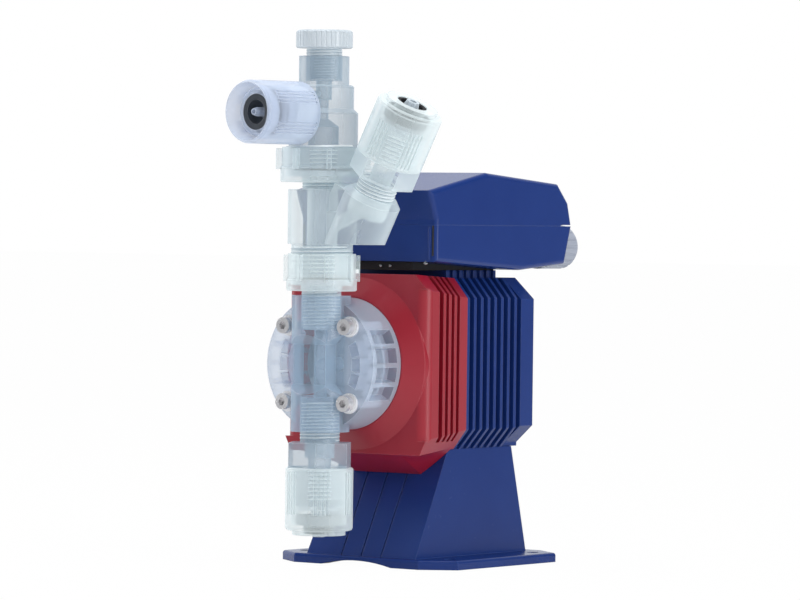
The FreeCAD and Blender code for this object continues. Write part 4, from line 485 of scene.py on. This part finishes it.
RIDGE_SIZE, RIDGE_SINK = 0.42, 0.25
NECK_PITCH, NUT_PITCH, FINE_PITCH = 0.0018, 0.0021, 0.0015
COLUMN = at(0, -COLUMN_REACH, 0)
SUCTION = at(0, -COLUMN_REACH, 0.0534) @ Matrix.Rotation(math.pi, 4, "X")
DISCHARGE = at(0.0428, -COLUMN_REACH, 0.2148) @ Matrix.Rotation(OUTLET_TILT, 4, "Y")
VENT = COLUMN @ Matrix.Rotation(-VENT_SWING, 4, "Z") @ at(0, -VENT_START, 0.2386) @ TO_FRONT
THREADS = [
    ("suction_neck_thread", "pump", 0.01035, 0.0675, 0.0875, NECK_PITCH, COLUMN, UPRIGHT_RIDGE),
    ("head_upper_thread", "pump", 0.01035, 0.1270, 0.1450, NECK_PITCH, COLUMN, UPRIGHT_RIDGE),
    ("lower_union_thread", "pump", 0.01615, 0.1540, 0.1695, NUT_PITCH, COLUMN, UPRIGHT_RIDGE),
    ("upper_neck_thread", "pump", 0.0106, 0.1995, 0.2025, FINE_PITCH, COLUMN, UPRIGHT_RIDGE),
    ("upper_union_thread", "pump", 0.0194, 0.2110, 0.2215, NUT_PITCH, COLUMN, UPRIGHT_RIDGE),
    ("vent_screw_thread", "vent_screw", 0.0093, 0.2575, 0.2725, FINE_PITCH, COLUMN, UPRIGHT_RIDGE),
    ("suction_nut_thread", "pump", 0.0144, 0.0012, 0.0190, NUT_PITCH, SUCTION, UPRIGHT_RIDGE),
    ("discharge_nut_thread", "pump", 0.0144, 0.0012, 0.0165, NUT_PITCH, DISCHARGE, BRANCH_RIDGE),
    ("vent_nut_thread", "pump", 0.0138, 0.0012, 0.0140, NUT_PITCH, VENT, VENT_RIDGE),
    ("discharge_neck_thread", "pump", 0.01035, -0.0300, -0.0120, NECK_PITCH, DISCHARGE, BRANCH_RIDGE),
]
for name, body, spigot, low, high, pitch, where, finish in THREADS:
    ridge = wound(pitch * RIDGE_SIZE, 4, spigot - pitch * RIDGE_SINK, low, pitch, round((high - low) / pitch))
    dressed(seated(ridge, where), name, body, "frosted_fitting", finish)


# Soft seals in the mouths of the two hose nuts, with a sleeve inside the lower half of each; their black
# rubber also paints the shade deep in the mouths

SEAL_INSIDE, SEAL_OUTSIDE, SEAL_DEPTH = 0.0062, 0.0081, 0.0032
SLEEVE_INSIDE, SLEEVE_OUTSIDE, SLEEVE_DEPTH = 0.0044, 0.0061, 0.0016
NUT_MOUTHS = {"discharge": DISCHARGE @ at(0, 0, 0.0323), "suction": SUCTION @ at(0, 0, 0.0349)}
seals_and_shades = repeated(turned_ring(SEAL_INSIDE, SEAL_OUTSIDE, SEAL_DEPTH), list(NUT_MOUTHS.values()))
sleeves_and_shades = repeated(turned_ring(SLEEVE_INSIDE, SLEEVE_OUTSIDE, SLEEVE_DEPTH),
                   [mouth @ at(0, 0, SLEEVE_DEPTH - SEAL_DEPTH) for mouth in NUT_MOUTHS.values()])
for side, seal_and_shade, sleeve_and_shade in zip(NUT_MOUTHS, seals_and_shades, sleeves_and_shades):
    dressed(seal_and_shade, f"{side}_hose_seal_and_shade", "pump", "black_rubber")
    dressed(sleeve_and_shade, f"{side}_seal_sleeve_and_shade", "pump", "black_rubber")


# Front corners of the control unit: an upright bead beside a black strip that paints the shade in a groove,
# and the screws under them

HANDS = {"right": 1, "left": -1}
BEAD_FOOT, BEAD_RADIUS, BEAD_LENGTH, BEAD_EDGE = (0.0403, -0.0494, 0.1626), 0.0008, 0.0175, 0.0003
GROOVE_SHADE_MIDDLE, GROOVE_SHADE_SIZE = (0.0426, -0.0495, 0.1728), (0.0011, 0.0003, 0.0160)
CLIP_SEAT, CLIP_RADIUS, CLIP_LENGTH = (0.0380, -0.0487, 0.1610), 0.0009, 0.0012
GASKET_SEATS = [(0.0068, -0.0462, 0.1592), (0.0130, -0.0462, 0.1592)]
GASKET_SCREW_RADIUS, GASKET_SCREW_LENGTH = 0.0008, 0.0010
FINE_EDGE = 0.0001


def on_both_hands(place):
    """A place on the right and its mirror place on the left."""
    across, along, up = place
    return [at(side * across, along, up) for side in HANDS.values()]


beads = repeated(pin(BEAD_RADIUS, BEAD_LENGTH, BEAD_EDGE), on_both_hands(BEAD_FOOT))
# Black strips proud of the face: painted shade for the grooves beside the beads
groove_shades = repeated(block(GROOVE_SHADE_SIZE, FINE_EDGE), on_both_hands(GROOVE_SHADE_MIDDLE))
clip_screws = repeated(pin(CLIP_RADIUS, CLIP_LENGTH, FINE_EDGE),
                       [seat @ TO_FRONT for seat in on_both_hands(CLIP_SEAT)])
for hand, bead, groove_shade, clip_screw in zip(HANDS, beads, groove_shades, clip_screws):
    dressed(bead, f"case_{hand}_corner_bead", "pump", "blue_housing")
    dressed(groove_shade, f"case_{hand}_corner_groove_shade", "pump", "blue_housing", FINISHES["black_polymer"])
    dressed(clip_screw, f"case_{hand}_clip_screw", "pump", "stainless_bolt", FINISHES["plated_iron"])
gasket_screws = repeated(pin(GASKET_SCREW_RADIUS, GASKET_SCREW_LENGTH, FINE_EDGE),
                         [at(*seat) @ TO_FRONT for seat in GASKET_SEATS])
for number, gasket_screw in enumerate(gasket_screws, start=1):
    dressed(gasket_screw, f"gasket_screw_{number}", "pump", "stainless_bolt", FINISHES["plated_iron"])


# Return spring

SPRING_WIRE, SPRING_RADIUS, SPRING_TURNS, SPRING_GIVE = 0.0010, 0.0090, 6, 0.00130


def return_coil():
    """The spring as wound, between the ends of the solid return spring that it stands in for."""
    low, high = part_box("return_spring")
    length = high[1] - low[1]
    pitch = (length - 2 * SPRING_WIRE) / SPRING_TURNS
    coil = wound(SPRING_WIRE, 16, SPRING_RADIUS, 0, pitch, SPRING_TURNS)
    seated(coil, at(0, low[1] + SPRING_WIRE, (low[2] + high[2]) / 2) @ TO_REAR)
    dressed(coil, "return_coil", "pump", "spring_steel")
    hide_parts("return_spring")
    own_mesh(coil)


return_coil()


# Rear panel: graduated knob with its index, key marks, lamps and the frame of the display

PANEL_FACE, KEY_FACE = 0.0650, 0.0664
KNOB_ACROSS, KNOB_SEAT, KNOB_UP, INDEX_UP = 0.0285, 0.0655, 0.1698, 0.1826
KNOB = at(KNOB_ACROSS, KNOB_SEAT, KNOB_UP) @ TO_REAR
MARKS, LONG_MARK_EVERY = 40, 5
LONG_MARK, SHORT_MARK, MARK_WIDTH, MARK_DEPTH = 0.0030, 0.0018, 0.00030, 0.00035
SKIRT_RADIUS, SKIRT_RIM, POINTER_RADIUS, POINTER_MIDDLE = 0.0119, 0.0012, 0.0120, 0.0200
POINTER_SIZE = (0.0012, 0.0005, 0.0090)
INDEX_RADIUS, INDEX_HEIGHT = 0.0007, 0.0002
MARK_EDGE = 0.00005


def knob_marks(length, steps):
    """Equal marks round the knob's skirt, one at each of these steps."""
    on_skirt = at(0, SKIRT_RADIUS, SKIRT_RIM + length / 2)
    return repeated(block((MARK_WIDTH, MARK_DEPTH, length), MARK_EDGE),
                    [KNOB @ Matrix.Rotation(math.tau * step / MARKS, 4, "Z") @ on_skirt for step in steps])


def knob_graduations():
    marks = (knob_marks(LONG_MARK, [step for step in range(MARKS) if step % LONG_MARK_EVERY == 0])
             + knob_marks(SHORT_MARK, [step for step in range(MARKS) if step % LONG_MARK_EVERY]))
    for mark in marks:
        mark.select_set(True)
    bpy.ops.object.join()
    return bpy.context.object


dressed(knob_graduations(), "knob_graduations", "rate_dial", "grey_knob", DARK_MARK)
dressed(seated(block(POINTER_SIZE, FINE_EDGE), KNOB @ at(0, -POINTER_RADIUS, POINTER_MIDDLE)),
        "knob_pointer", "rate_dial", "grey_knob", DARK_MARK)
knob_index = pin(INDEX_RADIUS, INDEX_HEIGHT, MARK_EDGE, corners=3)
dressed(seated(knob_index, at(KNOB_ACROSS, PANEL_FACE, INDEX_UP) @ TO_REAR),
        "knob_index", "pump", "dark_panel", WHITE_MARK)

LEFT_KEYS, RIGHT_KEYS, UPPER_KEYS, LOWER_KEYS = 0.0120, 0.0260, 0.1926, 0.1858
FLAT_BAR, UPRIGHT_BAR, SQUARE = (0.0020, 0.0002, 0.0005), (0.0005, 0.0002, 0.0020), (0.0018, 0.0002, 0.0018)
TRIANGLE_RADIUS, TRIANGLE_HEIGHT, TRIANGLE_EDGE = 0.0011, 0.0001, 0.00003
BAR_MARKS = [
    ("up_key_mark", "button_1", LEFT_KEYS, UPPER_KEYS, FLAT_BAR),
    ("down_key_mark", "button_2", LEFT_KEYS, LOWER_KEYS, UPRIGHT_BAR),
    ("stop_key_mark", "button_4", RIGHT_KEYS, LOWER_KEYS, SQUARE),
]
for name, body, across, up, size in BAR_MARKS:
    dressed(seated(block(size, MARK_EDGE), at(across, KEY_FACE, up)), name, body, "grey_key", DARK_MARK)
triangle = pin(TRIANGLE_RADIUS, TRIANGLE_HEIGHT, TRIANGLE_EDGE, corners=3)
dressed(seated(triangle, at(RIGHT_KEYS, KEY_FACE, UPPER_KEYS) @ TO_REAR),
        "start_key_mark", "button_3", "grey_key", DARK_MARK)

LAMP_RADIUS, LAMPS_ACROSS, RUN_LAMP_UP, ALARM_LAMP_UP = 0.0012, 0.0040, 0.1912, 0.1862


def lamp_dome():
    """The lens of a lamp, half sunk in the panel."""
    bpy.ops.mesh.primitive_uv_sphere_add(segments=32, ring_count=16, radius=LAMP_RADIUS)
    bpy.ops.object.shade_smooth()
    return bpy.context.object


run_lamp, alarm_lamp = repeated(lamp_dome(),
                                [at(LAMPS_ACROSS, PANEL_FACE, up) for up in (RUN_LAMP_UP, ALARM_LAMP_UP)])
dressed(run_lamp, "run_lamp", "pump", "display_pane", GREEN_LAMP)
dressed(alarm_lamp, "alarm_lamp", "pump", "display_pane", RED_LAMP)


DISPLAY_ACROSS, DISPLAY_FACE, DISPLAY_UP = -0.0170, 0.0651, 0.1880
FRAME_LENGTH, FRAME_HEIGHT, FRAME_WIDTH, FRAME_RISE, FRAME_EDGE = 0.0364, 0.0154, 0.0012, 0.0005, 0.00012


def display_frame():
    """A raised frame round the display, with a bevelled inner edge."""
    bpy.ops.mesh.primitive_plane_add(size=1.0)
    outside = Matrix.Diagonal((FRAME_LENGTH, FRAME_HEIGHT, 1, 1))
    rim = seated(bpy.context.object, at(DISPLAY_ACROSS, DISPLAY_FACE, DISPLAY_UP) @ TO_REAR @ outside)
    bpy.ops.object.mode_set(mode="EDIT")
    bpy.ops.mesh.select_all(action="SELECT")
    bpy.ops.mesh.inset(thickness=FRAME_WIDTH)
    bpy.ops.mesh.delete(type="FACE")
    bpy.ops.mesh.select_all(action="SELECT")
    bpy.ops.mesh.extrude_region_move(TRANSFORM_OT_translate={"value": (0, FRAME_RISE, 0)})
    faces_outward()
    broken_edges(rim, FRAME_EDGE)
    return rim


dressed(display_frame(), "display_frame", "pump", "dark_panel", FINISHES["black_polymer"])


# Floor, light and camera

FLOOR_SEEN, FLOOR_IN_GLOSS, SURROUND_LEVEL = 0.985, 0.12, 0.54
BACKWARDS = (-0.594, 0.804, 0.0)
PUMP_MIDDLE = Vector((0.0, -0.02, 0.14))


def white_floor():
    """A pale matt floor that keeps the shadow, and that the camera and the glosses see as a white studio."""
    material, tree, shader = start_finish("studio floor")
    shader.inputs["Base Color"].default_value = (0.80, 0.80, 0.80, 1)
    shader.inputs["Roughness"].default_value = 0.9
    shader.inputs["Specular IOR Level"].default_value = 0.1
    rays = tree.nodes.new("ShaderNodeLightPath").outputs
    glow = put(tree, "ShaderNodeEmission", Color=(1, 1, 1, 1), Strength=1.0)
    in_gloss = reckoned(tree, "MULTIPLY", rays["Is Glossy Ray"], FLOOR_IN_GLOSS)
    share = reckoned(tree, "MULTIPLY_ADD", rays["Is Camera Ray"], FLOOR_SEEN, in_gloss)
    both = (share, shader.outputs[0], glow.outputs[0])
    mixing = fed_in_order(tree, tree.nodes.new("ShaderNodeMixShader"), both)
    feed(tree, tree.nodes["Material Output"].inputs["Surface"], mixing.outputs[0])
    return material


bpy.ops.mesh.primitive_plane_add(size=30.0, location=(0, 0, -0.0004))
floor = bpy.context.object
floor.name = "studio_floor"
floor.data.materials.append(white_floor())


def studio_world():
    """Pale soft surround: the camera sees white, and glosses see white behind the pump and less in front."""
    world = bpy.data.worlds.new("studio")
    bpy.context.scene.world = world
    world.use_nodes = True
    sky = world.node_tree
    rays = sky.nodes.new("ShaderNodeLightPath").outputs
    heading = sky.nodes.new("ShaderNodeTexCoord").outputs["Generated"]
    backwards = reckoned_vector(sky, "DOT_PRODUCT", heading, BACKWARDS).outputs["Value"]
    backdrop = ranged(sky, backwards, 0.35, 0.85, 0.06, 1.0)
    front_box = ranged(sky, backwards, -0.88, -0.985, 0.0, 0.75)
    in_gloss = reckoned(sky, "ADD", backdrop, front_box)
    surround = sky.nodes["Background"]
    surround.inputs["Color"].default_value = (0.93, 0.96, 1.0, 1)
    feed(sky, surround.inputs["Strength"], mixed_value(sky, rays["Is Glossy Ray"], SURROUND_LEVEL, in_gloss))
    white = put(sky, "ShaderNodeBackground", Color=(1, 1, 1, 1), Strength=1.0)
    seen = reckoned(sky, "MAXIMUM", rays["Is Camera Ray"], rays["Is Transmission Ray"])
    both = (seen, surround.outputs[0], white.outputs[0])
    choice = fed_in_order(sky, sky.nodes.new("ShaderNodeMixShader"), both)
    feed(sky, sky.nodes["World Output"].inputs["Surface"], choice.outputs[0])


studio_world()


def soft_light(name, place, size, watts):
    """A rectangular panel of light, turned to the middle of the pump."""
    lamp = bpy.data.lights.new(name, "AREA")
    lamp.shape = "RECTANGLE"
    lamp.size, lamp.size_y = size
    lamp.energy = watts
    rig = bpy.data.objects.new(name, lamp)
    bpy.context.scene.collection.objects.link(rig)
    rig.location = place
    rig.rotation_euler = (PUMP_MIDDLE - Vector(place)).to_track_quat("-Z", "Y").to_euler()


soft_light("overhead panel", (-0.1, -0.25, 1.5), (1.3, 1.0), 13.0)
soft_light("left window", (-1.45, -0.45, 0.60), (0.8, 1.1), 7.0)
soft_light("right window", (1.45, -0.15, 0.45), (0.6, 1.1), 10.0)

AZIMUTH, PITCH, ROLL = math.radians(36.44), math.radians(0.99), math.radians(0.70)
DISTANCE, FOCAL_LENGTH_PIXELS, PICTURE_WIDTH_PIXELS, SENSOR_WIDTH = 2.622, 4896.45, 800.0, 36.0
AIM = Vector((0.0, -0.0203, 0.14067))
away = Vector((math.sin(AZIMUTH) * math.cos(PITCH), -math.cos(AZIMUTH) * math.cos(PITCH), math.sin(PITCH)))
lens = bpy.data.cameras.new("photograph view")
lens.sensor_width = SENSOR_WIDTH
lens.lens = FOCAL_LENGTH_PIXELS * SENSOR_WIDTH / PICTURE_WIDTH_PIXELS
lens.clip_end = 100.0
viewer = bpy.data.objects.new("photograph view", lens)
bpy.context.scene.collection.objects.link(viewer)
turn = (-away).to_track_quat("-Z", "Y").to_matrix().to_4x4() @ Matrix.Rotation(ROLL, 4, "Z")
viewer.matrix_world = Matrix.Translation(AIM + away * DISTANCE) @ turn
bpy.context.scene.camera = viewer
bpy.context.scene.view_settings.view_transform = "Standard"
bpy.context.scene.cycles.transparent_max_bounces = 48
